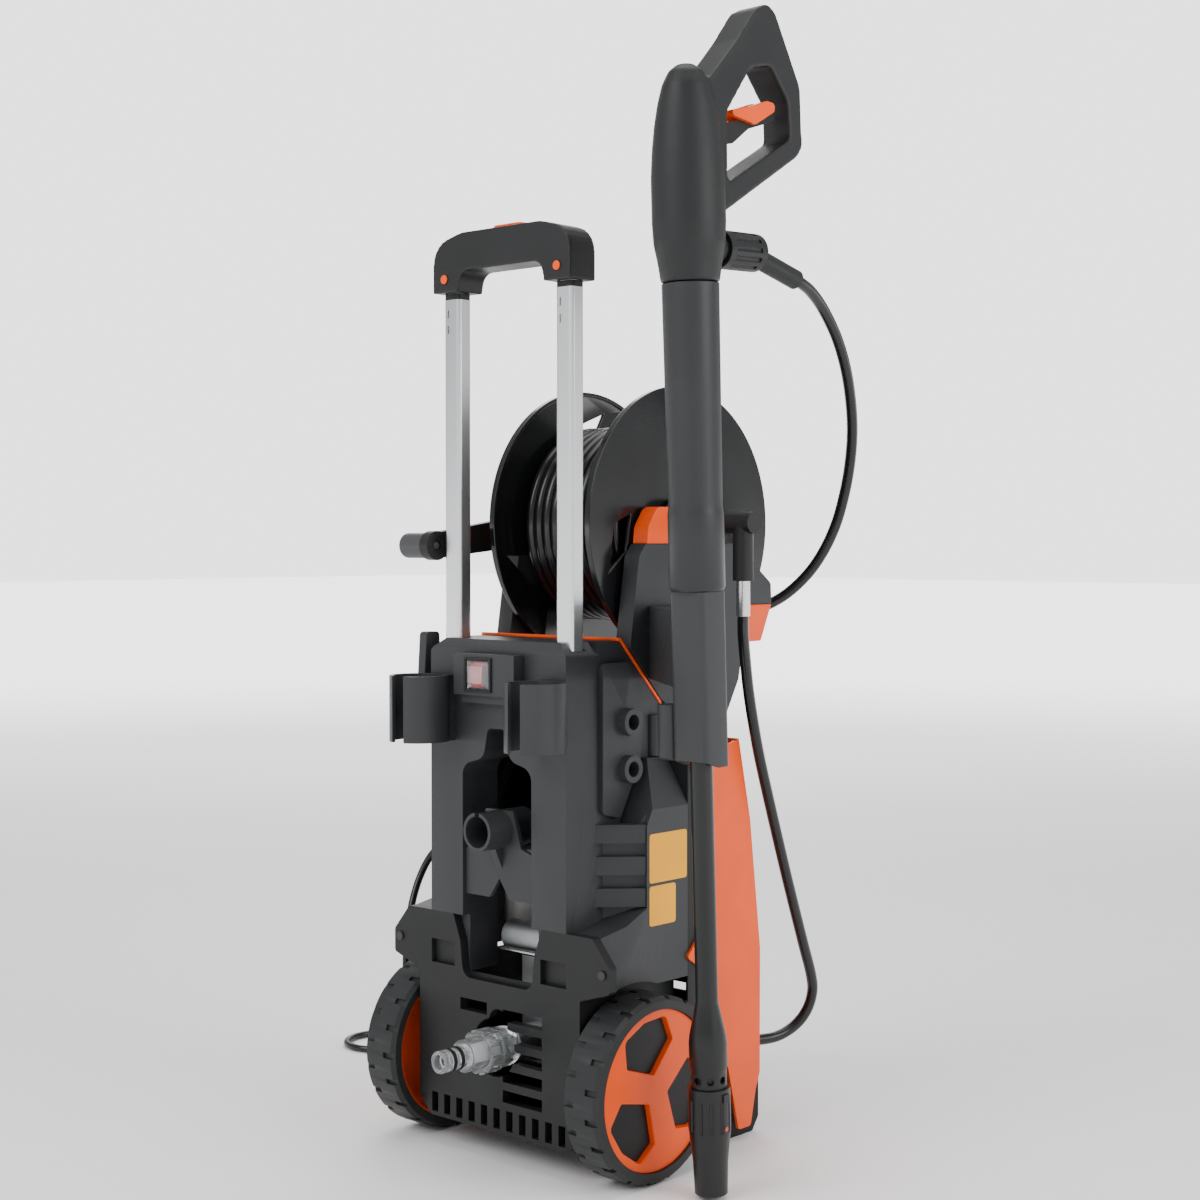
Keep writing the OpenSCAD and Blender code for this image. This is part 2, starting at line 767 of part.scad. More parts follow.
module reel_bracket_left() {
    mirror([1, 0, 0])
        reel_bracket();
}

module reel_bracket_right() {
    reel_bracket();
}

// Orange caps on the brackets and the orange lips in front of them
module reel_trim() {
    cap_z = case_h + 95 + eps;
    lip_z = case_h + 31 - seat_gap;
    color("#f26a1b")
        both_sides() {
            side_slab(outline([[60, cap_z], [62, cap_z + 17, 12], [76, cap_z + 37, 12],
                [reel_y - 42, cap_z + 37, 2], [reel_y - 42, cap_z]]), bracket_in, bracket_out);
            side_slab([[222 + seat_gap, lip_z], [262, lip_z], [244, lip_z - 39], [216, lip_z - 39]],
                bracket_in, bracket_out);
        }
}

// Swivel that carries water into the reel's shaft
module reel_elbow() {
    color("#232527")
        difference() {
            union() {
                rod_x(elbow_d, bracket_out + seat_gap, elbow_x + 14, reel_y, reel_z);
                rod_x(elbow_d + 4, bracket_out + seat_gap, bracket_out + 10, reel_y, reel_z);
                translate([elbow_x, reel_y, reel_z - elbow_drop])
                    cylinder(d = elbow_d - 1, h = elbow_drop);
            }
            translate([elbow_x, reel_y, reel_z - elbow_drop - 1])
                cylinder(d = 9, h = elbow_drop);
            rod_x(9, bracket_out, elbow_x + 2, reel_y, reel_z);
        }
}

module flange() {
    difference() {
        union() {
            cylinder(d = flange_d, h = flange_t);
            difference() {
                cylinder(d = flange_d, h = flange_t + 3);
                translate([0, 0, -1])
                    cylinder(d = flange_d - 8, h = flange_t + 5);
            }
        }
        for (a = [30, 150, 270])
            rotate([0, 0, a])
                translate([0, 0, -1])
                    linear_extrude(flange_t + 5)
                        polygon([[56, 58], [84, 34], [118, 34], [80, 66]]);
        translate([0, 0, -1])
            cylinder(d = reel_shaft_d + eps, h = flange_t + 5);
    }
}

module reel_flange_left() {
    color("#1d1f20")
        translate([-reel_w / 2, reel_y, reel_z])
            rotate([0, 90, 0])
                flange();
}

module reel_flange_right() {
    color("#1d1f20")
        translate([reel_w / 2, reel_y, reel_z])
            rotate([0, -90, 0])
                flange();
}

module reel_drum() {
    w = reel_w / 2 - flange_t - eps;
    color("#232527")
        union() {
            difference() {
                rod_x(drum_d, -w, w, reel_y, reel_z);
                rod_x(drum_d - 2 * wall, -w + wall, w - wall, reel_y, reel_z);
            }
            rod_x(reel_shaft_d, -crank_x - crank_t + 2, bracket_out - 1, reel_y, reel_z);
        }
}

module wound_hose() {
    w = reel_w / 2 - flange_t - 5;
    color("#151617")
        ring_x(wound_d, drum_d + eps, -w, w, reel_y, reel_z);
}

// Arm of the crank, from the shaft towards the rear of the machine
module crank_arm() {
    across = [sin(crank_drop), -cos(crank_drop)];
    hub = [reel_y, reel_z];
    color("#1d1f20")
        difference() {
            union() {
                rod_x(40, -crank_x - crank_t, -crank_x, reel_y, reel_z);
                rod_x(30, -crank_x - crank_t, -crank_x, crank_end.x, crank_end.y);
                side_slab([hub + 18 * across, crank_end + 13 * across, crank_end - 13 * across,
                    hub - 18 * across], -crank_x - crank_t + 1, -crank_x - 1);
            }
            rod_x(reel_shaft_d + eps, -crank_x - crank_t + 2 - eps, -crank_x + 1, reel_y, reel_z);
            rod_x(knob_pin_d + 2 * spin_gap, -crank_x - crank_t - 1, -crank_x + 1, crank_end.x, crank_end.y);
        }
}

module crank_knob() {
    x = -crank_x - crank_t - seat_gap;
    color("#6a6d70")
        union() {
            rod_x(knob_d, x - knob_h, x, crank_end.x, crank_end.y);
            rod_x(knob_pin_d, x - 1, -crank_x - 1, crank_end.x, crank_end.y);
        }
}

// ---- Mast and grip ----

module mast_tube(w, d, wall_t, bottom, top) {
    translate([0, mast_y, bottom])
        difference() {
            linear_extrude(top - bottom)
                polygon(rounded_rect(w, d, 4));
            translate([0, 0, -1])
                linear_extrude(top - bottom + 2)
                    polygon(rounded_rect(w - 2 * wall_t, d - 2 * wall_t, 3));
        }
}

module mast_tubes() {
    color("#d5d7d9")
        difference() {
            both_sides()
                translate([mast_x, 0, 0])
                    mast_tube(mast_w, mast_depth, mast_wall, mast_bottom, mast_top);
            for (x = [-mast_x - 3, mast_x - 3], z = [14, 30])
                box([x - 3, mast_y - mast_depth, mast_top - z - 4], [x + 4, mast_y, mast_top - z + 4]);
        }
}

// Rings on the tops of the mast tubes
module mast_collars() {
    color("#1b1c1d")
        both_sides()
            translate([mast_x, mast_y, mast_top + eps])
                difference() {
                    linear_extrude(collar_h - 2 * eps)
                        polygon(rounded_rect(mast_w, mast_depth, 4));
                    translate([0, 0, -1])
                        linear_extrude(collar_h + 2)
                            polygon(rounded_rect(inner_w + 2 * inner_gap, inner_d + 2 * inner_gap, 3));
                }
}

module grip_tubes() {
    color("#c9cbcd")
        both_sides()
            translate([mast_x, 0, 0])
                mast_tube(inner_w, inner_d, 1, inner_bottom, grip_bottom + 22);
}

module grip() {
    w = grip_w / 2;
    color("#232527")
        difference() {
            front_slab(outline([[-w, grip_bottom], [-w, grip_top - 10, 26], [-w + 40, grip_top, 40],
                [w - 40, grip_top, 40], [w, grip_top - 10, 26], [w, grip_bottom], [w - leg_w, grip_bottom],
                [w - leg_w - 4, grip_bottom + 20, 14], [-w + leg_w + 4, grip_bottom + 20, 14],
                [-w + leg_w, grip_bottom]]), mast_y - 18, mast_y + 18);
            both_sides() {
                translate([mast_x - inner_w / 2 - eps, mast_y - inner_d / 2 - eps, grip_bottom - 1])
                    cube([inner_w + 2 * eps, inner_d + 2 * eps, 23 + eps]);
                rod_y(6 + eps, mast_y - 19, mast_y - inner_d / 2 + 1, mast_x, grip_bottom + 13);
            }
            translate([-button.x / 2 - slide_gap, mast_y - button.y / 2 - slide_gap, grip_top - button.z - 1])
                cube([button.x + 2 * slide_gap, button.y + 2 * slide_gap, button.z + 2]);
        }
}

module grip_rivets() {
    color("#f26a1b")
        both_sides() {
            rod_y(6, mast_y - 18, mast_y - inner_d / 2 - eps, mast_x, grip_bottom + 13);
            rod_y(9, mast_y - 19.5, mast_y - 18 - eps, mast_x, grip_bottom + 13);
        }
}

module release_button() {
    color("#f26a1b")
        translate([0, mast_y, grip_top - button.z + button_rise])
            linear_extrude(button.z)
                polygon(rounded_rect(button.x, button.y, 6));
}

// ---- Lance and gun, in the lance's frame ----

module turned(points) {
    rotate_extrude()
        polygon(points);
}

// Half of a turned solid, on the +X side
module half_turned(points) {
    rotate([0, 0, -90])
        rotate_extrude(angle = 180)
            polygon(points);
}

module gun_body() {
    r = gun_d / 2;
    half_turned([[0, gun_top], [10, gun_top - 1], [22, gun_top - 10], [r - 4, gun_top - 34],
        [r, gun_top - 68], [r, hose_port_z], [r - 3, barrel_top + 20], [r - 6, barrel_top + seat_gap],
        [0, barrel_top + seat_gap]]);
}

// Handle loop, seen from the side
function loop_outline() = outline([[9, 1029], [58, 1076, 20], [86, 1108, 14], [104, 1116, 12],
    [116, 1108, 12], [152, 1044, 16], [154, 986, 12], [144, 976, 12], [26, 912], [9, 912]]);

function loop_hole() = outline([[38, 942, 5], [40, 1008, 8], [76, 1052, 8], [106, 1058, 8], [132, 1028, 10],
    [134, 992, 8]]);

module gun_half() {
    difference() {
        union() {
            gun_body();
            side_slab(loop_outline(), 0, loop_t / 2);
            translate([0, 20, hose_port_z])
                rotate([-90, 0, 0])
                    half_turned([[0, 0], [15, 0], [15, 20], [0, 20]]);
        }
        side_slab(loop_hole(), -1, loop_t);
        translate([0, 0, barrel_top - 1])
            cylinder(r = gun_d / 2 - 8, h = 108);
        translate([0, 16, hose_port_z])
            rotate([-90, 0, 0])
                cylinder(d = 16, h = 30);
        rod_x(pin_d + 2 * spin_gap, -1, 10, trigger_pivot.x, trigger_pivot.y);
        box([-1, 22, 974], [6 + slide_gap, 50, 1004]);
    }
}

// Two shells that meet on the middle plane of the gun
module gun_shell() {
    color("#26282a")
        lance_frame()
            both_sides()
                translate([eps, 0, 0])
                    gun_half();
}

module gun_barrel() {
    color("#505356")
        lance_frame()
            turned([[4, spigot_bottom], [spigot_d / 2, spigot_bottom], [spigot_d / 2, barrel_bottom],
                [24, barrel_bottom], [26, barrel_bottom + 4], [26, barrel_bottom + 70],
                [25, barrel_bottom + 78], [26.5, barrel_top], [12, barrel_top], [12, barrel_top + 24],
                [4, barrel_top + 24]]);
}

// Lance tube with the turned head that carries the nozzle
module lance_tube() {
    color("#1d1f20")
        lance_frame()
            difference() {
                turned([[5, nozzle_top + 4], [12, nozzle_top + 4], [12, nozzle_top + seat_gap],
                    [17, nozzle_top + seat_gap], [17, neck_top], [18, neck_top + 2], [18, 148], [17, 156],
                    [lance_d / 2, 186],
                    [lance_d / 2, spigot_bottom - seat_gap], [5, spigot_bottom - seat_gap]]);
                for (a = [0:45:315])
                    rotate([0, 0, a])
                        translate([0, -17, (nozzle_top + neck_top) / 2])
                            rotate([-90, 0, 0])
                                cylinder(d = 7, h = 4);
            }
}

// Turning sleeve that sets the spray from a fan to a jet
module nozzle_sleeve() {
    color("#26282a")
        lance_frame()
            difference() {
                turned([[4, nozzle_bottom], [15.5, nozzle_bottom], [16.5, nozzle_bottom + 30],
                    [20, nozzle_bottom + 62], [20, nozzle_top], [4, nozzle_top]]);
                for (a = [0:30:330])
                    rotate([0, 0, a + 15])
                        translate([21.3, 0, nozzle_bottom + 60])
                            cylinder(d = 5, h = 30);
            }
}

// Ribbed nut and strain relief where the hose meets the gun
module gun_hose_nut() {
    relief_start = lance_point([0, 34 + nut_len, hose_port_z - 1]);
    color("#303336")
        union() {
            lance_frame()
                translate([0, 40 + seat_gap, hose_port_z])
                    rotate([-90, 0, 0])
                        difference() {
                            union() {
                                cylinder(d = 36, h = nut_len);
                                translate([0, 0, -16])
                                    cylinder(d = 14, h = 17);
                            }
                            for (a = [0:30:330])
                                rotate([0, 0, a])
                                    translate([19.5, 0, 8])
                                        cylinder(d = 6, h = nut_len - 16);
                        }
            strut(relief_start, gun_hose_path[0] - 0.8 * unit(gun_hose_path[0] - relief_start), relief_d);
        }
}

module trigger() {
    p = trigger_pivot;
    color("#1b1c1d")
        lance_frame()
            difference() {
                union() {
                    side_slab(outline([[p.x - 5, p.y - 5, 4], [p.x + 14, p.y - 8, 3], [p.x + 30, p.y - 6, 3],
                        [p.x + 54, p.y + 10, 6], [p.x + 95, p.y + 22, 2], [p.x + 94, p.y + 28, 2],
                        [p.x + 46, p.y + 18, 6], [p.x - 5, p.y + 5, 4]]), -trigger_t / 2, trigger_t / 2);
                    rod_x(pin_d, -9.5, 9.5, p.x, p.y);
                }
                rod_x(lock_pin_d + 2 * spin_gap, -7, 7, lock_pin.x, lock_pin.y);
            }
}

// Lock that flips under the trigger's free end
module trigger_lock() {
    q = lock_at;
    color("#f26a1b")
        lance_frame()
            union() {
                for (s = [-1, 1])
                    side_slab(outline([[q.x - 30, q.y - 3, 3], [q.x + 4, q.y - 8, 4], [q.x + 33, q.y + 7, 4],
                        [q.x + 35, q.y + 15, 4], [q.x + 22, q.y + 16, 4], [q.x - 4, q.y + 8, 6],
                        [q.x - 30, q.y + 2, 2]]),
                        s > 0 ? trigger_t / 2 + seat_gap : -lock_t / 2,
                        s > 0 ? lock_t / 2 : -trigger_t / 2 - seat_gap);
                rod_x(lock_pin_d, -6.5, 6.5, lock_pin.x, lock_pin.y);
            }
}

// ---- Wheels ----

// Tyre with its tread blocks set turn about on the two edges
module tyre() {
    x0 = track / 2 - wheel_w;
    color("#1b1c1d")
        difference() {
            translate([x0, 0, axle_z])
                rotate([0, 90, 0])
                    turned([[hub_r, 0], [wheel_d / 2 - 4, 0], [wheel_d / 2, 4], [wheel_d / 2, wheel_w - 4],
                        [wheel_d / 2 - 4, wheel_w], [hub_r, wheel_w]]);
            translate([x0, 0, axle_z])
                rotate([0, 90, 0])
                    for (i = [0:tread_blocks - 1])
                        rotate([0, 0, 360 / tread_blocks * i]) {
                            translate([wheel_d / 2 - 3, -3, -1])
                                cube([6, 6, wheel_w * 0.36]);
                            rotate([0, 0, 180 / tread_blocks])
                                translate([wheel_d / 2 - 3, -3, wheel_w * 0.66])
                                    cube([6, 6, wheel_w * 0.36]);
                        }
        }
}

module tyre_right() {
    tyre();
}

module tyre_left() {
    mirror([1, 0, 0])
        tyre();
}

// Wheel disc with three broad spokes, closed over the end of the axle
module hub() {
    x1 = track / 2 - 3;
    x0 = track / 2 - wheel_w + 2;
    color("#f26a1b")
        difference() {
            union() {
                rod_x(2 * hub_r - eps, x1 - 12, x1, 0, axle_z);
                ring_x(2 * hub_r - eps, 2 * hub_r - 6, x0, x1 - 11, 0, axle_z);
                rod_x(34, x0, x1 - 11, 0, axle_z);
            }
            for (a = [30, 150, 270])
                translate([x1 - 7, 0, axle_z])
                    rotate([a, 0, 0])
                        side_slab(outline([[16, 0, 3], [38, -34, 3], [64, -30, 6], [70, 0, 20], [64, 30, 6],
                            [38, 34, 3]]), 0, 8);
            rod_x(axle_d + 2 * spin_gap, x0 - 1, track / 2 - 10 + seat_gap, 0, axle_z);
        }
}

module hub_right() {
    hub();
}

module hub_left() {
    mirror([1, 0, 0])
        hub();
}

// ---- Inside the case ----

module motor_shell() {
    color("#7c8084")
        translate([motor_at.x, motor_at.y, 0])
            difference() {
                translate([0, 0, motor_z[0]])
                    cylinder(d = motor_d, h = motor_z[1] - motor_z[0]);
                translate([0, 0, motor_z[0] + 6])
                    cylinder(d = motor_d - 10, h = motor_z[1] - motor_z[0] - 10);
                translate([0, 0, motor_z[0] - 1])
                    cylinder(d = shaft_d + 2 * spin_gap, h = 8);
            }
}

// Rotor and shaft, with the cooling fan above the windings
module motor_rotor() {
    color("#a9764a")
        translate([motor_at.x, motor_at.y, 0])
            union() {
                translate([0, 0, pump_z[1] + 2])
                    cylinder(d = shaft_d, h = motor_z[1] - pump_z[1] - 12);
                translate([0, 0, motor_z[0] + 18])
                    cylinder(d = 56, h = 84);
                translate([0, 0, motor_z[0] + 120])
                    cylinder(d = 84, h = 3);
                for (a = [0:45:315])
                    rotate([0, 0, a])
                        translate([16, -1.5, motor_z[0] + 122])
                            cube([24, 3, 18]);
            }
}

module pump_body() {
    color("#9a9da0")
        difference() {
            union() {
                translate([motor_at.x, motor_at.y, pump_z[0] + 40])
                    cylinder(d = pump_d, h = pump_z[1] - pump_z[0] - 40 + 10 - eps);
                box([-30, pump_rear, pump_z[0]], [30, 122, pump_z[0] + 42]);
                box([-14, 40, base_z + wall + eps], [14, 112, pump_z[0] + 1]);
            }
            translate([motor_at.x, motor_at.y, pump_z[1] - 22])
                cylinder(d = shaft_d + 8, h = 40);
        }
}

// Head with the water inlet to the rear, the outlet to the front and the bypass valve on top
module pump_head() {
    color("#b7babd")
        union() {
            rod_y(34, -inlet_seat + eps, pump_rear - eps, 0, inlet_z);
            box([-20, valve_y - 4, inlet_z], [20, valve_y + 14, 198]);
            rod_x(32, -38, 34, valve_y, 214);
            rod_y(20, 122 + eps, 150, 40, outlet[1]);
            box([20, 122 + eps, outlet[1] - 14], [106, 140, outlet[1] + 14]);
        }
}

module capacitor() {
    color("#e4e4df")
        translate([motor_at.x - capacitor_reach * cos(capacitor_turn),
            motor_at.y - capacitor_reach * sin(capacitor_turn), motor_z[0] + 10])
            cylinder(d = capacitor_d, h = 78);
}

// Rigid pipe from the end of the valve down to the pump
module water_pipes() {
    color("#b9bcbf")
        union() {
            rod_x(7, 34 + eps, 56, valve_y, 214);
            translate([52, valve_y, 125])
                cylinder(d = 8, h = 92);
            rod_x(7, 20 + eps, 52, valve_y, 128);
        }
}

module housing_screws() {
    color("#8b8e91")
        both_sides() {
            rod_y(5 - 2 * spin_gap, rear_y - 1, rear_y + plate_t, ear_hole_x, ear_hole_z);
            rod_y(9, rear_y - 2, rear_y - eps, ear_hole_x, ear_hole_z);
        }
}

// ---- Water inlet ----

module inlet_connector() {
    color("#dfe6ea")
        translate([-2, 0, inlet_z])
            rotate([90, 0, 0])
                difference() {
                    turned([[7, inlet_seat], [13, inlet_seat], [13, 62], [16, 66], [16, 102], [11, 104],
                        [11, 109], [9, 109], [9, 114], [11, 114], [11, 119], [9, 119], [9, 124], [11, 124],
                        [11, 134], [7, 134]]);
                    translate([0, 0, 60])
                        cylinder(d = 25, h = 40);
                }
}

module inlet_filter() {
    color("#f2f4f5")
        translate([-2, 0, inlet_z])
            rotate([90, 0, 0])
                turned([[6, 62], [10, 62], [9, 99.5], [6, 99.5]]);
}

module inlet_nut() {
    color("#dfe6ea")
        translate([-2, 0, inlet_z])
            rotate([90, 0, 0])
                difference() {
                    turned([[13 + spin_gap, 44], [20, 44], [20, 62], [22, 64], [22, 82], [16 + spin_gap, 82],
                        [16 + spin_gap, 66], [13 + spin_gap, 61]]);
                    for (a = [0:30:330])
                        rotate([0, 0, a])
                            translate([23, 0, 60])
                                cylinder(d = 5, h = 30);
                }
}

module inlet_o_rings() {
    color("#111213")
        translate([-2, 0, inlet_z])
            rotate([90, 0, 0])
                for (z = [109, 119])
                    turned([[9 + eps, z + 1], [11.8, z + 1], [11.8, z + 4], [9 + eps, z + 4]]);
}

// ---- Cord and hoses ----

module cord_gland() {
    color("#1b1c1d")
        difference() {
            union() {
                rod_x(20, -case_w / 2 - 5, -case_w / 2 - eps, gland[0], gland[1]);
                rod_x(12, -case_w / 2 - gland_len, -case_w / 2 + 12, gland[0], gland[1]);
            }
            rod_x(cord_d + eps, -case_w / 2 - gland_len - 1, -case_w / 2 + 13, gland[0], gland[1]);
        }
}

module power_cord() {
    color("#151617") {
        swept(cord_path, cord_d, 24, 8, [0.1, 0.3, 1]);
        swept(plug_path, cord_d, 24, 8, [0, 0, 1]);
    }
}

module power_cord_coil() {
    color("#151617")
        translate([coil_at.x, coil_at.y, 0])
            turned(outline([[coil_r - coil_size.x / 2, 0.5, 3], [coil_r + coil_size.x / 2, 0.5, 3],
                [coil_r + coil_size.x / 2, coil_size.y, 3], [coil_r - coil_size.x / 2, coil_size.y, 3]]));
}

module power_plug() {
    color("#1b1c1d")
        translate([plug_at.x, plug_at.y, 19])
            rotate([0, 90, 0])
                union() {
                    turned([[0, 0.5], [8, 0.5], [12, 14], [18, 20], [18, 40], [0, 40]]);
                    for (s = [-1, 1])
                        translate([0, 9.5 * s, 39])
                            cylinder(d = 4.8, h = 20);
                }
}

module link_hose() {
    color("#151617")
        swept(link_hose_path, hose_d, 30, 10, [1, 0, 0]);
}

// Metal ferrules on the two ends of the link hose
module hose_ferrules() {
    color("#c4c7ca")
        union() {
            translate([elbow_x, reel_y, reel_z - elbow_drop - ferrule_h])
                difference() {
                    cylinder(d = ferrule_d, h = ferrule_h - eps);
                    translate([0, 0, -1])
                        cylinder(d = 8, h = ferrule_h + 1);
                }
            difference() {
                rod_y(ferrule_d, 140 + eps, 229, outlet[0], outlet[1]);
                rod_y(8, 139, 231, outlet[0], outlet[1]);
            }
        }
}

module gun_hose() {
    color("#151617")
        swept(gun_hose_path, hose_d, 30, 10, [1, 0.2, 0.1]);
}

rear_housing();
lower_housing();
front_housing();
front_panel();
top_trim();
front_feet();
wheel_axle();
switch_box();
nozzle_rack();
lance_holder();
accessory_clips();
cord_hook();
accessory_socket();
reel_bracket_left();
reel_bracket_right();
reel_trim();
inlet_connector();
inlet_nut();
inlet_filter();
inlet_o_rings();
motor_shell();
motor_rotor();
pump_body();
pump_head();
capacitor();
water_pipes();
housing_screws();
cord_gland();
power_cord();
power_cord_coil();
power_plug();
link_hose();
hose_ferrules();
reel_elbow();
gun_hose();
mast_tubes();
mast_collars();
grip_tubes();
grip();
grip_rivets();
release_button();
switch_rocker();
reel_flange_left();
reel_flange_right();
reel_drum();
wound_hose();
crank_arm();
crank_knob();
gun_shell();
gun_barrel();
lance_tube();
gun_hose_nut();
trigger();
trigger_lock();
nozzle_sleeve();
tyre_left();
tyre_right();
hub_left();
hub_right();
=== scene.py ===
import json
import math

import bmesh
import bpy
from mathutils import Matrix, Vector


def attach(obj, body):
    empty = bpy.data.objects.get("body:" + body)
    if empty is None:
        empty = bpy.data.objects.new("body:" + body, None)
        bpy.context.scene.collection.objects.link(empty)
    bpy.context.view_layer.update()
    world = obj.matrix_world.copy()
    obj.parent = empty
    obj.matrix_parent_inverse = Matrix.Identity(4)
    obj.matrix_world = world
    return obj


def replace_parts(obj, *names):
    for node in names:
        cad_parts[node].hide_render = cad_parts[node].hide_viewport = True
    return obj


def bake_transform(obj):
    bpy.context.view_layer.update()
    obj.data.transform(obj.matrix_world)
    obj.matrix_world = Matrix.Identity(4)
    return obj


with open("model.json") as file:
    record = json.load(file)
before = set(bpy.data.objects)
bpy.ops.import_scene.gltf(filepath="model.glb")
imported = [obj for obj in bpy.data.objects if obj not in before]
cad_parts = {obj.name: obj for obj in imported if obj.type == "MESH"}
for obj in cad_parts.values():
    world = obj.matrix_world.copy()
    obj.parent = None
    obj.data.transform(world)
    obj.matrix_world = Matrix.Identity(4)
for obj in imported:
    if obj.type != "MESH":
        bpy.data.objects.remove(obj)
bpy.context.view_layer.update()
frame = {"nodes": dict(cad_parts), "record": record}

scene = bpy.context.scene
mm = 0.001
nodeBody = {n: b for b, nodes in frame["record"]["behaviour"]["bodies"].items() for n in nodes}

# camera and light

view = {
    "place": (1.3838, -1.4203, 0.6151), "azimuth": 42.44, "pitch": 1.72,
    "lens": 59.34, "sensor": 36, "farthest": 50,
}


def addCamera():
    camera = bpy.data.objects.new("camera", bpy.data.cameras.new("camera"))
    scene.collection.objects.link(camera)
    camera.location = view["place"]
    camera.rotation_euler = (math.radians(90 - view["pitch"]), 0, math.radians(view["azimuth"]))
    camera.data.lens = view["lens"]
    camera.data.sensor_width = view["sensor"]
    camera.data.clip_end = view["farthest"]
    scene.camera = camera


lamps = {
    "keyLamp": {"place": (-0.6, -3.2, 2.9), "size": 2.2, "power": 85},
    "sideLamp": {"place": (3.2, 0.6, 1.9), "size": 2.0, "power": 60},
    "topLamp": {"place": (0.0, 0.3, 3.6), "size": 2.6, "power": 50},
    "rearLamp": {"place": (-2.4, 2.4, 2.2), "size": 2.0, "power": 45},
}
lampTarget = Vector((0.05, 0.05, 0.5))


def addLamps():
    for name, lamp in lamps.items():
        data = bpy.data.lights.new(name, "AREA")
        data.size = lamp["size"]
        data.energy = lamp["power"]
        obj = bpy.data.objects.new(name, data)
        scene.collection.objects.link(obj)
        obj.location = lamp["place"]
        obj.rotation_euler = (lampTarget - obj.location).to_track_quat("-Z", "Y").to_euler()


brightness = {"seen": 2.6, "cast": 0.62}  # of the white world, to the camera and on the pieces


def addWorld():
    world = bpy.data.worlds.new("studio")
    world.use_nodes = True
    tree = world.node_tree
    sky = tree.nodes["Background"]
    sky.inputs["Color"].default_value = (1, 1, 1, 1)
    path = tree.nodes.new("ShaderNodeLightPath")
    level = tree.nodes.new("ShaderNodeMapRange")
    level.inputs["To Min"].default_value = brightness["cast"]
    level.inputs["To Max"].default_value = brightness["seen"]
    tree.links.new(path.outputs["Is Camera Ray"], level.inputs["Value"])
    tree.links.new(level.outputs["Result"], sky.inputs["Strength"])
    scene.world = world


# finishes: a broad blotch changes colour and roughness a little, and a fine grain gives the bump

surface = {
    "blotch": 14, "detail": 2.0, "noiseSpan": (0.3, 0.7), "tintSpan": (0.35, 0.65),
    "roughSpan": (0.9, 1.12), "bumpHeight": 0.0003, "coatRoughness": 0.12, "clearIor": 1.49,
}


def noiseOn(tree, scale, stretch):
    place = tree.nodes.new("ShaderNodeTexCoord")
    mapping = tree.nodes.new("ShaderNodeMapping")
    mapping.inputs["Scale"].default_value = stretch
    noise = tree.nodes.new("ShaderNodeTexNoise")
    noise.inputs["Scale"].default_value = scale
    noise.inputs["Detail"].default_value = surface["detail"]
    tree.links.new(place.outputs["Object"], mapping.inputs["Vector"])
    tree.links.new(mapping.outputs["Vector"], noise.inputs["Vector"])
    return noise.outputs["Fac"]


def spread(tree, value, low, high):
    node = tree.nodes.new("ShaderNodeMapRange")
    node.inputs["From Min"].default_value = surface["noiseSpan"][0]
    node.inputs["From Max"].default_value = surface["noiseSpan"][1]
    node.inputs["To Min"].default_value = low
    node.inputs["To Max"].default_value = high
    tree.links.new(value, node.inputs["Value"])
    return node.outputs["Result"]


def tint(tree, value, colour, change):
    ramp = tree.nodes.new("ShaderNodeValToRGB")
    dark, light = ramp.color_ramp.elements[0], ramp.color_ramp.elements[1]
    dark.position = surface["tintSpan"][0]
    light.position = surface["tintSpan"][1]
    dark.color = (*[c * (1 - change) for c in colour], 1)
    light.color = (*[min(1, c * (1 + change)) for c in colour], 1)
    tree.links.new(value, ramp.inputs["Fac"])
    return ramp.outputs["Color"]


def finish(name, colour, roughness, grain=0.1, grainScale=900, metallic=0.0, coat=0.0, stretch=(1, 1, 1),
           change=0.06, clear=0.0, shine=0.5):
    material = bpy.data.materials.new(name)
    material.use_nodes = True
    tree = material.node_tree
    shader = tree.nodes["Principled BSDF"]
    broad = noiseOn(tree, surface["blotch"], stretch)
    smoother, rougher = [roughness * share for share in surface["roughSpan"]]
    tree.links.new(tint(tree, broad, colour, change), shader.inputs["Base Color"])
    tree.links.new(spread(tree, broad, smoother, min(1, rougher)), shader.inputs["Roughness"])
    shader.inputs["Metallic"].default_value = metallic
    shader.inputs["Specular IOR Level"].default_value = shine
    shader.inputs["Coat Weight"].default_value = coat
    shader.inputs["Coat Roughness"].default_value = surface["coatRoughness"]
    if clear:
        shader.inputs["Transmission Weight"].default_value = clear
        shader.inputs["IOR"].default_value = surface["clearIor"]
    if grain:
        bump = tree.nodes.new("ShaderNodeBump")
        bump.inputs["Strength"].default_value = grain
        bump.inputs["Distance"].default_value = surface["bumpHeight"]
        tree.links.new(noiseOn(tree, grainScale, stretch), bump.inputs["Height"])
        tree.links.new(bump.outputs["Normal"], shader.inputs["Normal"])
    return material


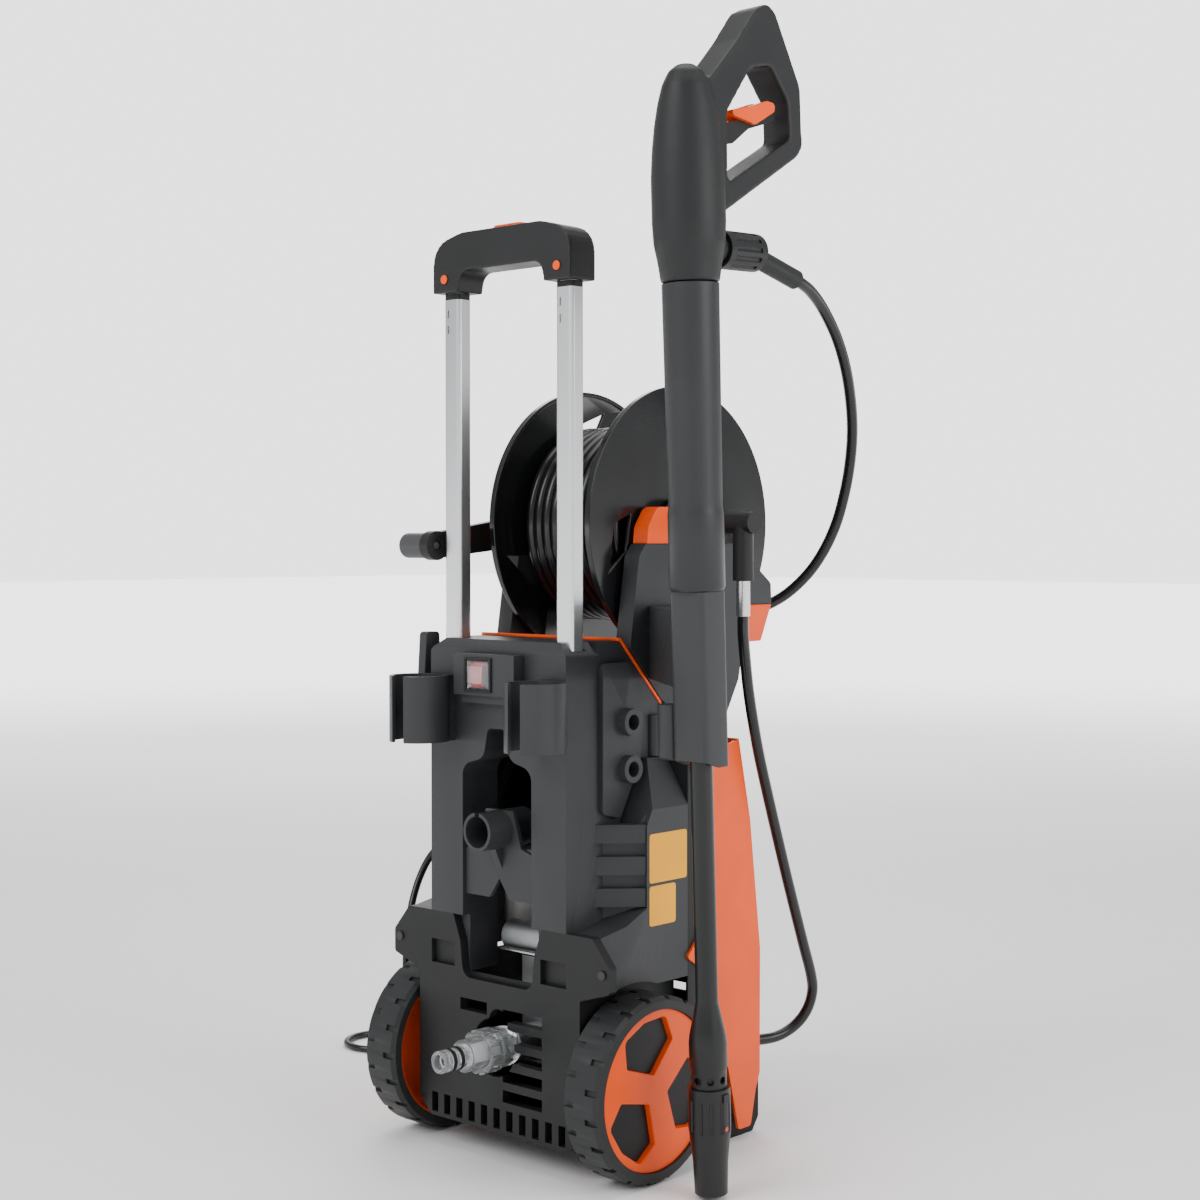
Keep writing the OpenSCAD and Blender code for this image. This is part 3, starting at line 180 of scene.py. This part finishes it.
finishes = {
    "case_grey": finish("caseGrey", (0.030, 0.032, 0.035), 0.44, 0.3, shine=0.34),
    "case_black": finish("caseBlack", (0.012, 0.0125, 0.0135), 0.46, 0.3, shine=0.3),
    "orange": finish("orange", (0.92, 0.085, 0.002), 0.36, 0.05, coat=0.06, shine=0.3),
    "reel_black": finish("reelBlack", (0.006, 0.0065, 0.0075), 0.2, 0.03, coat=0.2, shine=0.4),
    "barrel_grey": finish("barrelGrey", (0.022, 0.023, 0.025), 0.4, 0.2, shine=0.34),
    "lance_black": finish("lanceBlack", (0.008, 0.0085, 0.009), 0.34, 0.1, shine=0.4),
    "knob_grey": finish("knobGrey", (0.055, 0.056, 0.06), 0.45, 0.15, shine=0.35),
    "aluminium": finish("aluminium", (0.74, 0.75, 0.77), 0.3, 0.12, grainScale=260, metallic=1.0,
                        stretch=(1, 1, 0.02), change=0.03),
    "steel": finish("steel", (0.62, 0.62, 0.63), 0.24, 0.06, grainScale=500, metallic=1.0,
                    stretch=(1, 1, 0.1)),
    "alloy": finish("alloy", (0.45, 0.46, 0.47), 0.5, 0.5, grainScale=420, metallic=1.0),
    "copper": finish("copper", (0.62, 0.33, 0.18), 0.4, 0.6, grainScale=700, metallic=1.0,
                     stretch=(1, 1, 6)),
    "collar_black": finish("collarBlack", (0.008, 0.008, 0.009), 0.4, 0.15, shine=0.35),
    "rubber": finish("rubber", (0.010, 0.010, 0.010), 0.6, 0.3, grainScale=700, shine=0.3),
    "tyre": finish("tyre", (0.020, 0.021, 0.022), 0.5, 0.3, grainScale=700, shine=0.34),
    "hose": finish("hose", (0.006, 0.006, 0.0065), 0.26, 0.06, grainScale=500, coat=0.12, shine=0.4),
    "clear": finish("clearPlastic", (0.96, 0.98, 0.99), 0.06, 0.0, clear=0.92, change=0.01),
    "filter": finish("filter", (0.86, 0.87, 0.88), 0.7, 0.8, grainScale=1600),
    "switch_red": finish("switchRed", (0.62, 0.012, 0.03), 0.22, 0.0, coat=0.3),
    "capacitor": finish("capacitor", (0.74, 0.74, 0.70), 0.4, 0.08),
}
stickerYellow = finish("stickerYellow", (0.95, 0.42, 0.002), 0.4, 0.04, shine=0.3)
darkZinc = finish("darkZinc", (0.05, 0.05, 0.052), 0.45, 0.1, metallic=0.6)
switchClear = finish("switchCover", (0.95, 0.95, 0.96), 0.04, 0.0, clear=0.95, change=0.01)
gunBlack = finish("gunBlack", (0.010, 0.0105, 0.0115), 0.48, 0.35, grainScale=1100, shine=0.34)
slotOf = {s["node"]: s["material_slot"] for s in frame["record"]["subparts"]}

# making and placing pieces

edges = {
    "sharpAngle": 32, "bevelAngle": 35, "wideBevel": 1.5,
    "merge": 1e-6, "cadMerge": 2e-6, "flatAngle": 0.6,
}


def addPiece(name, mesh, slotName, body, material=None):
    obj = bpy.data.objects.new(name, mesh)
    scene.collection.objects.link(obj)
    mesh.materials.clear()
    mesh.materials.append(material or finishes[slotName])
    mesh.polygons.foreach_set("use_smooth", [True] * len(mesh.polygons))
    mesh.set_sharp_from_angle(angle=math.radians(edges["sharpAngle"]))
    if body:
        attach(obj, body)
    return obj


def meshOf(name, verts, faces, matrix=None):
    mesh = bpy.data.meshes.new(name)
    mesh.from_pydata([Vector(v) for v in verts], [], faces)
    if matrix:
        mesh.transform(matrix)
    bm = bmesh.new()
    bm.from_mesh(mesh)
    bmesh.ops.remove_doubles(bm, verts=bm.verts, dist=edges["merge"])
    bmesh.ops.recalc_face_normals(bm, faces=bm.faces)
    bm.to_mesh(mesh)
    bm.free()
    return mesh


def mergedCopy(node):  # the node's loose triangles joined, and its flat faces made whole
    mesh = bpy.data.meshes.new(node + "Shape")
    bm = bmesh.new()
    bm.from_mesh(frame["nodes"][node].data)
    bmesh.ops.remove_doubles(bm, verts=bm.verts, dist=edges["cadMerge"])
    flat = math.radians(edges["flatAngle"])
    bmesh.ops.dissolve_limit(bm, angle_limit=flat, verts=bm.verts, edges=bm.edges)
    bm.to_mesh(mesh)
    bm.free()
    return mesh


def roundEdges(obj, width):
    bevel = obj.modifiers.new("roundEdges", "BEVEL")
    bevel.width = width * mm
    bevel.segments = 3 if width >= edges["wideBevel"] else 2
    bevel.limit_method = "ANGLE"
    bevel.angle_limit = math.radians(edges["bevelAngle"])
    bevel.use_clamp_overlap = True
    bevel.harden_normals = True


def bake(obj):
    mesh = bpy.data.meshes.new_from_object(obj.evaluated_get(bpy.context.evaluated_depsgraph_get()))
    obj.modifiers.clear()
    obj.data = mesh


def melt(obj, voxel, rounds):  # one skin over pieces that run into each other
    remesh = obj.modifiers.new("remesh", "REMESH")
    remesh.mode = "VOXEL"
    remesh.voxel_size = voxel * mm
    relax = obj.modifiers.new("relax", "SMOOTH")
    relax.iterations = rounds
    relax.factor = 0.5
    bake(obj)
    obj.data.polygons.foreach_set("use_smooth", [True] * len(obj.data.polygons))


def cornerPoints(a, p, b, radius, steps):
    u, v = (a - p).normalized(), (b - p).normalized()
    straight = (u + v).length < 0.02
    if radius <= 0 or straight:
        return [p]
    half = math.acos(max(-1, min(1, u.dot(v)))) / 2
    centre = p + (u + v).normalized() * radius / math.sin(half)
    s = p + u * radius / math.tan(half) - centre
    e = p + v * radius / math.tan(half) - centre
    start, turn = math.atan2(s.y, s.x), math.atan2(s.x * e.y - s.y * e.x, s.dot(e))
    angles = [start + turn * i / steps for i in range(steps + 1)]
    return [centre + radius * Vector((math.cos(angle), math.sin(angle))) for angle in angles]


def outline(corners, steps=8):  # a corner is two places, and a radius where it is round
    found = []
    for i, corner in enumerate(corners):
        a, b = Vector(corners[i - 1][:2]), Vector(corners[(i + 1) % len(corners)][:2])
        radius = corner[2] if len(corner) > 2 else 0
        found += cornerPoints(a, Vector(corner[:2]), b, radius, steps)
    return found


def placed(point, angle, axis):
    return Matrix.Translation(Vector(point) * mm) @ Matrix.Rotation(math.radians(angle), 4, axis)


def sidePlate(name, points, x0, x1, matrix=None):
    n = len(points)
    verts = [(x * mm, p[0] * mm, p[1] * mm) for x in (x0, x1) for p in points]
    faces = [list(range(n)), list(range(n, 2 * n))]
    faces += [[i, (i + 1) % n, n + (i + 1) % n, n + i] for i in range(n)]
    return meshOf(name, verts, faces, matrix)


def turnedMesh(name, profile, matrix=None, sides=72):
    verts, faces = [], []
    for k in range(sides):
        a = 2 * math.pi * k / sides
        verts += [(r * mm * math.cos(a), r * mm * math.sin(a), z * mm) for r, z in profile]
    n = len(profile)
    for k in range(sides):
        for i in range(n):
            j, m = (i + 1) % n, (k + 1) % sides
            faces.append([k * n + i, k * n + j, m * n + j, m * n + i])
    return meshOf(name, verts, faces, matrix)


def curvePoint(p, i, t):  # on a smooth curve through the route's points
    a, b = Vector(p[max(i - 1, 0)]), Vector(p[i])
    c, d = Vector(p[min(i + 1, len(p) - 1)]), Vector(p[min(i + 2, len(p) - 1)])
    square, cube = 2 * a - 5 * b + 4 * c - d, 3 * b - a - 3 * c + d
    return 0.5 * (2 * b + (c - a) * t + square * t * t + cube * t ** 3)


def along(route, steps):
    points = [curvePoint(route, i, k / steps) * mm for i in range(len(route) - 1) for k in range(steps)]
    return points + [Vector(route[-1]) * mm]


def lengthOf(points):
    return sum((b - a).length for a, b in zip(points, points[1:]))


def tubeMesh(name, points, radius, sides=16):
    last = len(points) - 1
    tangents = [(points[min(i + 1, last)] - points[max(i - 1, 0)]).normalized() for i in range(len(points))]
    turns = [2 * math.pi * k / sides for k in range(sides)]
    side = tangents[0].orthogonal().normalized()
    verts, faces = [], []
    for i, (p, t) in enumerate(zip(points, tangents)):
        side = (side - t * side.dot(t)).normalized()
        up = t.cross(side)
        verts += [p + radius * (side * math.cos(a) + up * math.sin(a)) for a in turns]
        if i:
            before, here = (i - 1) * sides, i * sides
            for k in range(sides):
                j = (k + 1) % sides
                faces.append([before + k, before + j, here + j, here + k])
    faces += [list(range(sides)), list(range(len(verts) - sides, len(verts)))]
    return meshOf(name, verts, faces)


# power cord: a run from the case along the floor, a coil worked out turn by turn, and a tail to the plug

powerCord = {
    "thick": 8, "sides": 12, "routeSteps": 8, "tailSteps": 6, "closest": 0.0004,
    "route": [
        (-152, 44, 292), (-166, 43.5, 291.5), (-182, 40, 286), (-195, 33, 272), (-201, 22, 248),
        (-198, 8, 220), (-190, -5, 190), (-182, -14, 158), (-177, -18, 125), (-175, -19, 92),
        (-179, -14, 62), (-190, 0, 36), (-208, 24, 16), (-232, 56, 6), (-262, 94, 4.5), (-300, 138, 4.5),
        (-342, 182, 4.5), (-385, 210, 4.5), (-427, 216, 4.5), (-462, 196, 4.5), (-472, 162, 4.5),
        (-454, 134, 4.5), (-420, 130, 4.5), (-384, 158, 4.5), (-350, 204, 4.5), (-318, 246, 4.5),
        (-280, 280, 4.5), (-245, 300, 4.5), (-215, 311, 4.5), (-190, 314, 4.5),
    ],
    "coilAt": (-190, 386, 4.5), "startRadius": 72, "rings": [64, 56, 48, 40, 32, 32, 40, 48, 56, 64, 64, 56],
    "perLayer": 5, "lift": 8.2, "coilSteps": 48, "shiftShare": 0.2,
    "over": [(-190, 330, 22), (-178, 324, 29), (-165, 320, 27)],
    "tail": [
        (-153.5, 322.8, 20), (-138, 331, 15), (-118, 337, 8), (-98, 335, 5), (-78, 326, 7), (-60, 314, 13),
        (-44, 306, 18), (-30, 304, 19),
    ],
}


def coilTurns():
    cx, cy, cz = powerCord["coilAt"]
    rings, steps, perLayer = powerCord["rings"], powerCord["coilSteps"], powerCord["perLayer"]
    found = []
    for n, radius in enumerate(rings):
        before = rings[n - 1] if n else powerCord["startRadius"]
        layer = n // perLayer
        lastLayer = (n - 1) // perLayer if n else 0
        for k in range(steps):
            share = min(1, k / (steps * powerCord["shiftShare"]))
            ease = share * share * (3 - 2 * share)
            r = before + (radius - before) * ease
            z = cz + powerCord["lift"] * (lastLayer + (layer - lastLayer) * ease)
            a = math.radians(-90 + 360 * k / steps)
            found.append(Vector((cx + r * math.cos(a), cy + r * math.sin(a), z)) * mm)
    return found[1:]  # the route ends on the first point


def addPowerCord():
    run = along(powerCord["route"], powerCord["routeSteps"])
    end = along(powerCord["over"] + powerCord["tail"], powerCord["tailSteps"])
    laid = run + coilTurns() + end
    points = [p for i, p in enumerate(laid) if i == 0 or (p - laid[i - 1]).length > powerCord["closest"]]
    print("power cord", round(lengthOf(points), 3), "m")
    mesh = tubeMesh("powerCord", points, powerCord["thick"] / 2 * mm, powerCord["sides"])
    cord = addPiece("powerCord", mesh, "hose", "case")
    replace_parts(cord, "power_cord", "power_cord_coil")


# the loose run of gun hose stretches between the case and the gun, the link hose rides on the case

hoseThick = 11.5
hoseSteps = 8
hoses = {
    "gunHose": {"node": "gun_hose", "body": None, "route": [
        (222, 132, 868), (221.8, 142, 865.5), (219, 162, 859), (213, 190, 845), (207, 221, 820),
        (200, 247, 790), (190, 270, 758), (182, 284, 727), (172, 294, 695), (160, 301, 663),
        (146, 305, 631), (130, 304, 602), (112, 300, 578), (90, 292, 557), (68, 279, 543),
        (48, 262, 535), (32, 240, 529), (20, 214, 526), (12, 188, 523), (8, 162, 523), (4, 136, 524.5),
    ]},
    "linkHose": {"node": "link_hose", "body": "case", "route": [
        (150, 142, 538.5), (150, 142.2, 522), (150, 145, 500), (149, 152, 465), (148, 163, 425),
        (147, 176, 386), (144, 204, 318), (140, 232, 256), (135, 264, 190), (131, 284, 152),
        (127, 292, 131), (121, 290, 110), (113, 279, 94), (104, 258, 84.5), (95, 230, 84),
    ]},
}


def addHoses():
    for name, hose in hoses.items():
        points = along(hose["route"], hoseSteps)
        print(name, round(lengthOf(points), 3), "m")
        piece = addPiece(name, tubeMesh(name, points, hoseThick / 2 * mm), "hose", hose["body"])
        if name == "gunHose":
            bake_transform(piece)
        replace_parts(piece, hose["node"])


# hose wound on the reel in two layers, built with Geometry Nodes

winding = {
    "layers": (96.5, 85), "width": 110.5, "turns": 9.5, "steps": 56, "sides": 14,
    "axisY": 142, "axisZ": 633, "coreRadii": (45, 82), "coreInset": 3,
}


def windingTree(material):
    tree = bpy.data.node_groups.new("hoseWinding", "GeometryNodeTree")
    sockets = tree.interface
    sockets.new_socket("Geometry", in_out="OUTPUT", socket_type="NodeSocketGeometry")
    for label in ("Radius", "Width", "Turns", "Hose radius"):
        sockets.new_socket(label, in_out="INPUT", socket_type="NodeSocketFloat")
    entry, out = tree.nodes.new("NodeGroupInput"), tree.nodes.new("NodeGroupOutput")
    spiral = tree.nodes.new("GeometryNodeCurveSpiral")
    spiral.inputs["Resolution"].default_value = winding["steps"]
    ring = tree.nodes.new("GeometryNodeCurvePrimitiveCircle")
    ring.inputs["Resolution"].default_value = winding["sides"]
    tube = tree.nodes.new("GeometryNodeCurveToMesh")
    tube.inputs["Fill Caps"].default_value = True
    realize = tree.nodes.new("GeometryNodeRealizeInstances")
    paint = tree.nodes.new("GeometryNodeSetMaterial")
    paint.inputs["Material"].default_value = material
    link = tree.links.new
    link(entry.outputs["Radius"], spiral.inputs["Start Radius"])
    link(entry.outputs["Radius"], spiral.inputs["End Radius"])
    link(entry.outputs["Width"], spiral.inputs["Height"])
    link(entry.outputs["Turns"], spiral.inputs["Rotations"])
    link(entry.outputs["Hose radius"], ring.inputs["Radius"])
    link(spiral.outputs["Curve"], tube.inputs["Curve"])
    link(ring.outputs["Curve"], tube.inputs["Profile Curve"])
    link(tube.outputs["Mesh"], realize.inputs["Geometry"])
    link(realize.outputs["Geometry"], paint.inputs["Geometry"])
    link(paint.outputs["Geometry"], out.inputs["Geometry"])
    return tree


def woundLayer(tree, radius):
    ids = {s.name: s.identifier for s in tree.interface.items_tree if s.in_out == "INPUT"}
    maker = bpy.data.objects.new("maker", bpy.data.meshes.new("maker"))
    scene.collection.objects.link(maker)
    modifier = maker.modifiers.new("winding", "NODES")
    modifier.node_group = tree
    values = {
        "Radius": radius * mm, "Width": winding["width"] * mm, "Turns": winding["turns"],
        "Hose radius": hoseThick / 2 * mm,
    }
    for label, value in values.items():
        modifier[ids[label]] = value
    mesh = bpy.data.meshes.new_from_object(maker.evaluated_get(bpy.context.evaluated_depsgraph_get()))
    bpy.data.objects.remove(maker)
    return mesh


def addWinding():
    tree = windingTree(finishes["hose"])
    bm = bmesh.new()
    for radius in winding["layers"]:
        bm.from_mesh(woundLayer(tree, radius))
    hole, skin = winding["coreRadii"]
    start, end = winding["coreInset"], winding["width"] - winding["coreInset"]
    bm.from_mesh(turnedMesh("core", [(hole, start), (skin, start), (skin, end), (hole, end)]))
    bmesh.ops.recalc_face_normals(bm, faces=bm.faces)
    mesh = bpy.data.meshes.new("woundHose")
    bm.to_mesh(mesh)
    bm.free()
    mesh.transform(placed((-winding["width"] / 2, winding["axisY"], winding["axisZ"]), 90, "Y"))
    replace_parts(addPiece("woundHose", mesh, "hose", "reel"), "wound_hose")


# gun: a turned body, a flat loop and the hose port, melted into one shell along the leaning axis

gun = {
    "place": (222, 5, 0), "lean": 2.2,
    "body": [
        (0, 850.5), (27, 850.5), (29.5, 868), (33, 886), (34, 905), (34, 945), (32.5, 970), (30, 992),
        (26.5, 1012), (22, 1029), (16, 1041), (8, 1047), (0, 1048),
    ],
    "loopThick": 33, "cutBeyond": 5,
    "loop": [
        (9, 1029), (58, 1076, 20), (86, 1108, 14), (104, 1116, 12), (116, 1108, 12), (152, 1044, 16),
        (154, 986, 12), (144, 976, 12), (26, 912), (9, 912),
    ],
    "gap": [(38, 942, 5), (40, 1008, 8), (76, 1052, 8), (106, 1058, 8), (132, 1028, 10), (134, 992, 8)],
    "portZ": 884, "portRadius": 15, "portLong": 40, "voxel": 1.6, "rounds": 12,
}
lanceFrame = placed(gun["place"], gun["lean"], "X")


def gunLoop():
    half = gun["loopThick"] / 2
    beyond = half + gun["cutBeyond"]
    loop = bpy.data.objects.new("loop", sidePlate("loop", outline(gun["loop"]), -half, half))
    gap = bpy.data.objects.new("gap", sidePlate("gap", outline(gun["gap"]), -beyond, beyond))
    scene.collection.objects.link(loop)
    scene.collection.objects.link(gap)
    cut = loop.modifiers.new("cut", "BOOLEAN")
    cut.operation = "DIFFERENCE"
    cut.object = gap
    bake(loop)
    mesh = loop.data
    bpy.data.objects.remove(loop)
    bpy.data.objects.remove(gap)
    return mesh


def addGunShell():
    r, long = gun["portRadius"], gun["portLong"]
    profile = [(0, 0), (r, 0), (r, long), (0, long)]
    port = turnedMesh("port", profile, placed((0, 0, gun["portZ"]), -90, "X"))
    bm = bmesh.new()
    for mesh in (turnedMesh("body", gun["body"]), gunLoop(), port):
        bm.from_mesh(mesh)
    mesh = bpy.data.meshes.new("gunShell")
    bm.to_mesh(mesh)
    bm.free()
    shell = addPiece("gunShell", mesh, "case_black", None, gunBlack)
    melt(shell, gun["voxel"], gun["rounds"])
    shell.data.transform(lanceFrame)
    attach(shell, "gun")
    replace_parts(shell, "gun_shell")


# black inserts in the hubs' pockets

hubs = {
    "axle": (0, 0, 90), "shift": -45, "turns": (30, 150, 270), "depths": (152.2, 153.2),
    "pocket": [(16.6, 0, 3), (38, -33, 3), (63, -29.4, 6), (69, 0, 20), (63, 29.4, 6), (38, 33, 3)],
}


def addHubInserts():
    for body, side in (("wheel_right", 1), ("wheel_left", -1)):
        for n, turn in enumerate(hubs["turns"]):
            place = placed(hubs["axle"], turn + hubs["shift"], "X")
            if side < 0:
                place = Matrix.Scale(-1, 4, (1, 0, 0)) @ place
            mesh = sidePlate("insert", outline(hubs["pocket"]), *hubs["depths"], place)
            addPiece(f"{body}_insert{n}", mesh, "case_black", body)


# blank stickers on the case's side: where each starts and ends in y, then in z

stickers = {"upperSticker": (22, 78, 282, 330), "lowerSticker": (22, 61, 240, 279)}
stickerShape = {"x": (130.02, 130.3), "corner": 3}


def addStickers():
    r = stickerShape["corner"]
    for name, (y0, y1, z0, z1) in stickers.items():
        points = outline([(y0, z0, r), (y1, z0, r), (y1, z1, r), (y0, z1, r)])
        addPiece(name, sidePlate(name, points, *stickerShape["x"]), "orange", "case", stickerYellow)


# bezel and clear cover over the rocker, as half widths and half heights

switch = {
    "x": -11, "z": 483.5, "face": -72, "bezel": (19, 17), "bezelDeep": 2, "bezelEdge": 0.5,
    "cover": (16, 14.5), "top": (10, 9), "base": 0.2, "rise": 5, "coverEdge": 0.6,
}


def switchCorners(size, depth):
    x, z, y = switch["x"], switch["z"], switch["face"] - depth
    w, h = size
    return [((x + s * w) * mm, y * mm, (z + t * h) * mm) for s, t in ((-1, -1), (1, -1), (1, 1), (-1, 1))]


def addSwitchCover():
    verts = []
    for depth in (switch["bezelDeep"], 0):
        verts += switchCorners(switch["bezel"], depth) + switchCorners(switch["cover"], depth)
    faces = []
    for i in range(4):
        j = (i + 1) % 4
        faces += [[i, j, 4 + j, 4 + i], [8 + i, 8 + j, 12 + j, 12 + i], [i, j, 8 + j, 8 + i],
                  [4 + i, 4 + j, 12 + j, 12 + i]]
    bezel = addPiece("switchBezel", meshOf("switchBezel", verts, faces), "case_black", "case")
    roundEdges(bezel, switch["bezelEdge"])
    verts = switchCorners(switch["cover"], switch["base"]) + switchCorners(switch["top"], switch["rise"])
    faces = [[0, 1, 2, 3], [4, 5, 6, 7]] + [[i, (i + 1) % 4, 4 + (i + 1) % 4, 4 + i] for i in range(4)]
    cover = addPiece("switchCover", meshOf("switchCover", verts, faces), "clear", "case", switchClear)
    roundEdges(cover, switch["coverEdge"])


# red cap and steel rod in the case's recess, and the marks on the nozzle sleeve

valve = {
    "cap": [(0, 0), (4, 0), (6, 2), (6, 7.8), (0, 7.8)], "capAt": (-46, 2, 209), "capSides": 32,
    "rod": [(0, 0), (2.5, 0), (2.5, 72), (0, 72)], "rodAt": (-34, -18, 203), "rodSides": 24,
}
sleeve = {
    "dot": [(0, 0), (2.2, 0), (2.2, 0.9), (0, 0.9)], "dotAt": (19.6, 0, 69), "dotSides": 24,
    "mark": [(-4, 94, 1), (4, 94, 1), (4, 102, 1), (-4, 102, 1)], "markX": (19, 21.4),
}


def addRecessPieces():
    cap = turnedMesh("valveCap", valve["cap"], placed(valve["capAt"], 90, "Y"), valve["capSides"])
    addPiece("valveCap", cap, "switch_red", "case")
    rod = turnedMesh("valveRod", valve["rod"], placed(valve["rodAt"], 90, "Y"), valve["rodSides"])
    addPiece("valveRod", rod, "steel", "case")


def addSleeveMarks():
    dotPlace = lanceFrame @ placed(sleeve["dotAt"], 90, "Y")
    dot = turnedMesh("sleeveDot", sleeve["dot"], dotPlace, sleeve["dotSides"])
    addPiece("sleeveDot", dot, "switch_red", "nozzle_sleeve")
    mark = sidePlate("sleeveMark", outline(sleeve["mark"]), *sleeve["markX"], lanceFrame)
    addPiece("sleeveMark", mark, "lance_black", "nozzle_sleeve")


# floor that fades into the bright world

paleFloor = {"half": 25, "colour": (0.97, 0.97, 0.97), "fadeFrom": 1.6, "fadeTo": 7.5}


def floorFinish():
    material = finish("paleFloor", paleFloor["colour"], 0.8, 0.0, change=0.004, shine=0.2)
    tree = material.node_tree
    shader = tree.nodes["Principled BSDF"]
    place = tree.nodes.new("ShaderNodeTexCoord")
    far = tree.nodes.new("ShaderNodeVectorMath")
    far.operation = "LENGTH"
    fade = tree.nodes.new("ShaderNodeMapRange")
    fade.interpolation_type = "SMOOTHSTEP"
    fade.inputs["From Min"].default_value = paleFloor["fadeFrom"]
    fade.inputs["From Max"].default_value = paleFloor["fadeTo"]
    fade.inputs["To Max"].default_value = brightness["seen"]
    tree.links.new(place.outputs["Object"], far.inputs[0])
    tree.links.new(far.outputs["Value"], fade.inputs["Value"])
    tree.links.new(fade.outputs["Result"], shader.inputs["Emission Strength"])
    shader.inputs["Emission Color"].default_value = (1, 1, 1, 1)
    return material


def addFloor():
    half = paleFloor["half"]
    corners = [(-half, -half, 0), (half, -half, 0), (half, half, 0), (-half, half, 0)]
    mesh = meshOf("floor", corners, [[0, 1, 2, 3]])
    floor = bpy.data.objects.new("floor", mesh)
    scene.collection.objects.link(floor)
    mesh.materials.append(floorFinish())


# softened edges of the moulded and turned pieces: bevel widths

edgeWidths = {
    "rear_housing": 1.2, "lower_housing": 1.0, "front_housing": 2.0, "front_panel": 1.0, "top_trim": 0.8,
    "front_feet": 2.0, "switch_box": 1.0, "nozzle_rack": 1.2, "lance_holder": 1.0, "accessory_clips": 1.4,
    "cord_hook": 1.5, "accessory_socket": 0.8, "reel_bracket_left": 2.0, "reel_bracket_right": 2.0,
    "reel_trim": 1.2, "reel_elbow": 1.2, "reel_flange_left": 1.0, "reel_flange_right": 1.0, "reel_drum": 1.0,
    "crank_arm": 1.5, "crank_knob": 3.0, "gun_barrel": 0.8, "lance_tube": 0.8, "gun_hose_nut": 0.8,
    "trigger": 1.2, "trigger_lock": 1.0, "nozzle_sleeve": 0.6, "tyre_left": 1.0, "tyre_right": 1.0,
    "hub_left": 1.0, "hub_right": 1.0, "inlet_connector": 0.4, "inlet_nut": 0.8, "mast_collars": 0.6,
    "grip_rivets": 0.5, "release_button": 1.5, "switch_rocker": 0.8, "hose_ferrules": 0.6,
    "motor_shell": 2.0, "pump_body": 2.0, "pump_head": 1.5, "capacitor": 2.0, "housing_screws": 0.4,
}
gripSkin = {"voxel": 1.2, "rounds": 8}

# pieces that spin freely, turned about X to how they stand at rest: the point, and degrees

restTurns = {
    "hub_left": (hubs["axle"], hubs["shift"]), "hub_right": (hubs["axle"], hubs["shift"]),
    "reel_flange_right": ((0, winding["axisY"], winding["axisZ"]), 40),
}


def turnAbout(mesh, centre, angle):
    mesh.transform(placed(centre, angle, "X") @ Matrix.Translation(Vector(centre) * -mm))


def softenEdges():
    for node, width in edgeWidths.items():
        paint = darkZinc if node == "housing_screws" else None
        obj = addPiece(node + "_soft", mergedCopy(node), slotOf[node], nodeBody[node], paint)
        if node in restTurns:
            turnAbout(obj.data, *restTurns[node])
        roundEdges(obj, width)
        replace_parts(obj, node)


def addGrip():
    grip = addPiece("grip_soft", mergedCopy("grip"), "case_black", None)
    melt(grip, gripSkin["voxel"], gripSkin["rounds"])
    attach(grip, "grip")
    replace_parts(grip, "grip")


def paintRest():
    for node, obj in frame["nodes"].items():
        if not obj.hide_render:
            obj.data.materials.clear()
            obj.data.materials.append(finishes[slotOf[node]])


addCamera()
addPowerCord()
addHoses()
print("cords laid")
addWinding()
addGunShell()
print("gun and reel made")
addHubInserts()
addStickers()
addSwitchCover()
addRecessPieces()
addSleeveMarks()
softenEdges()
addGrip()
print("edges rounded")
paintRest()
addFloor()
addLamps()
addWorld()
print("pieces painted, stage lit")

print("scene ready")
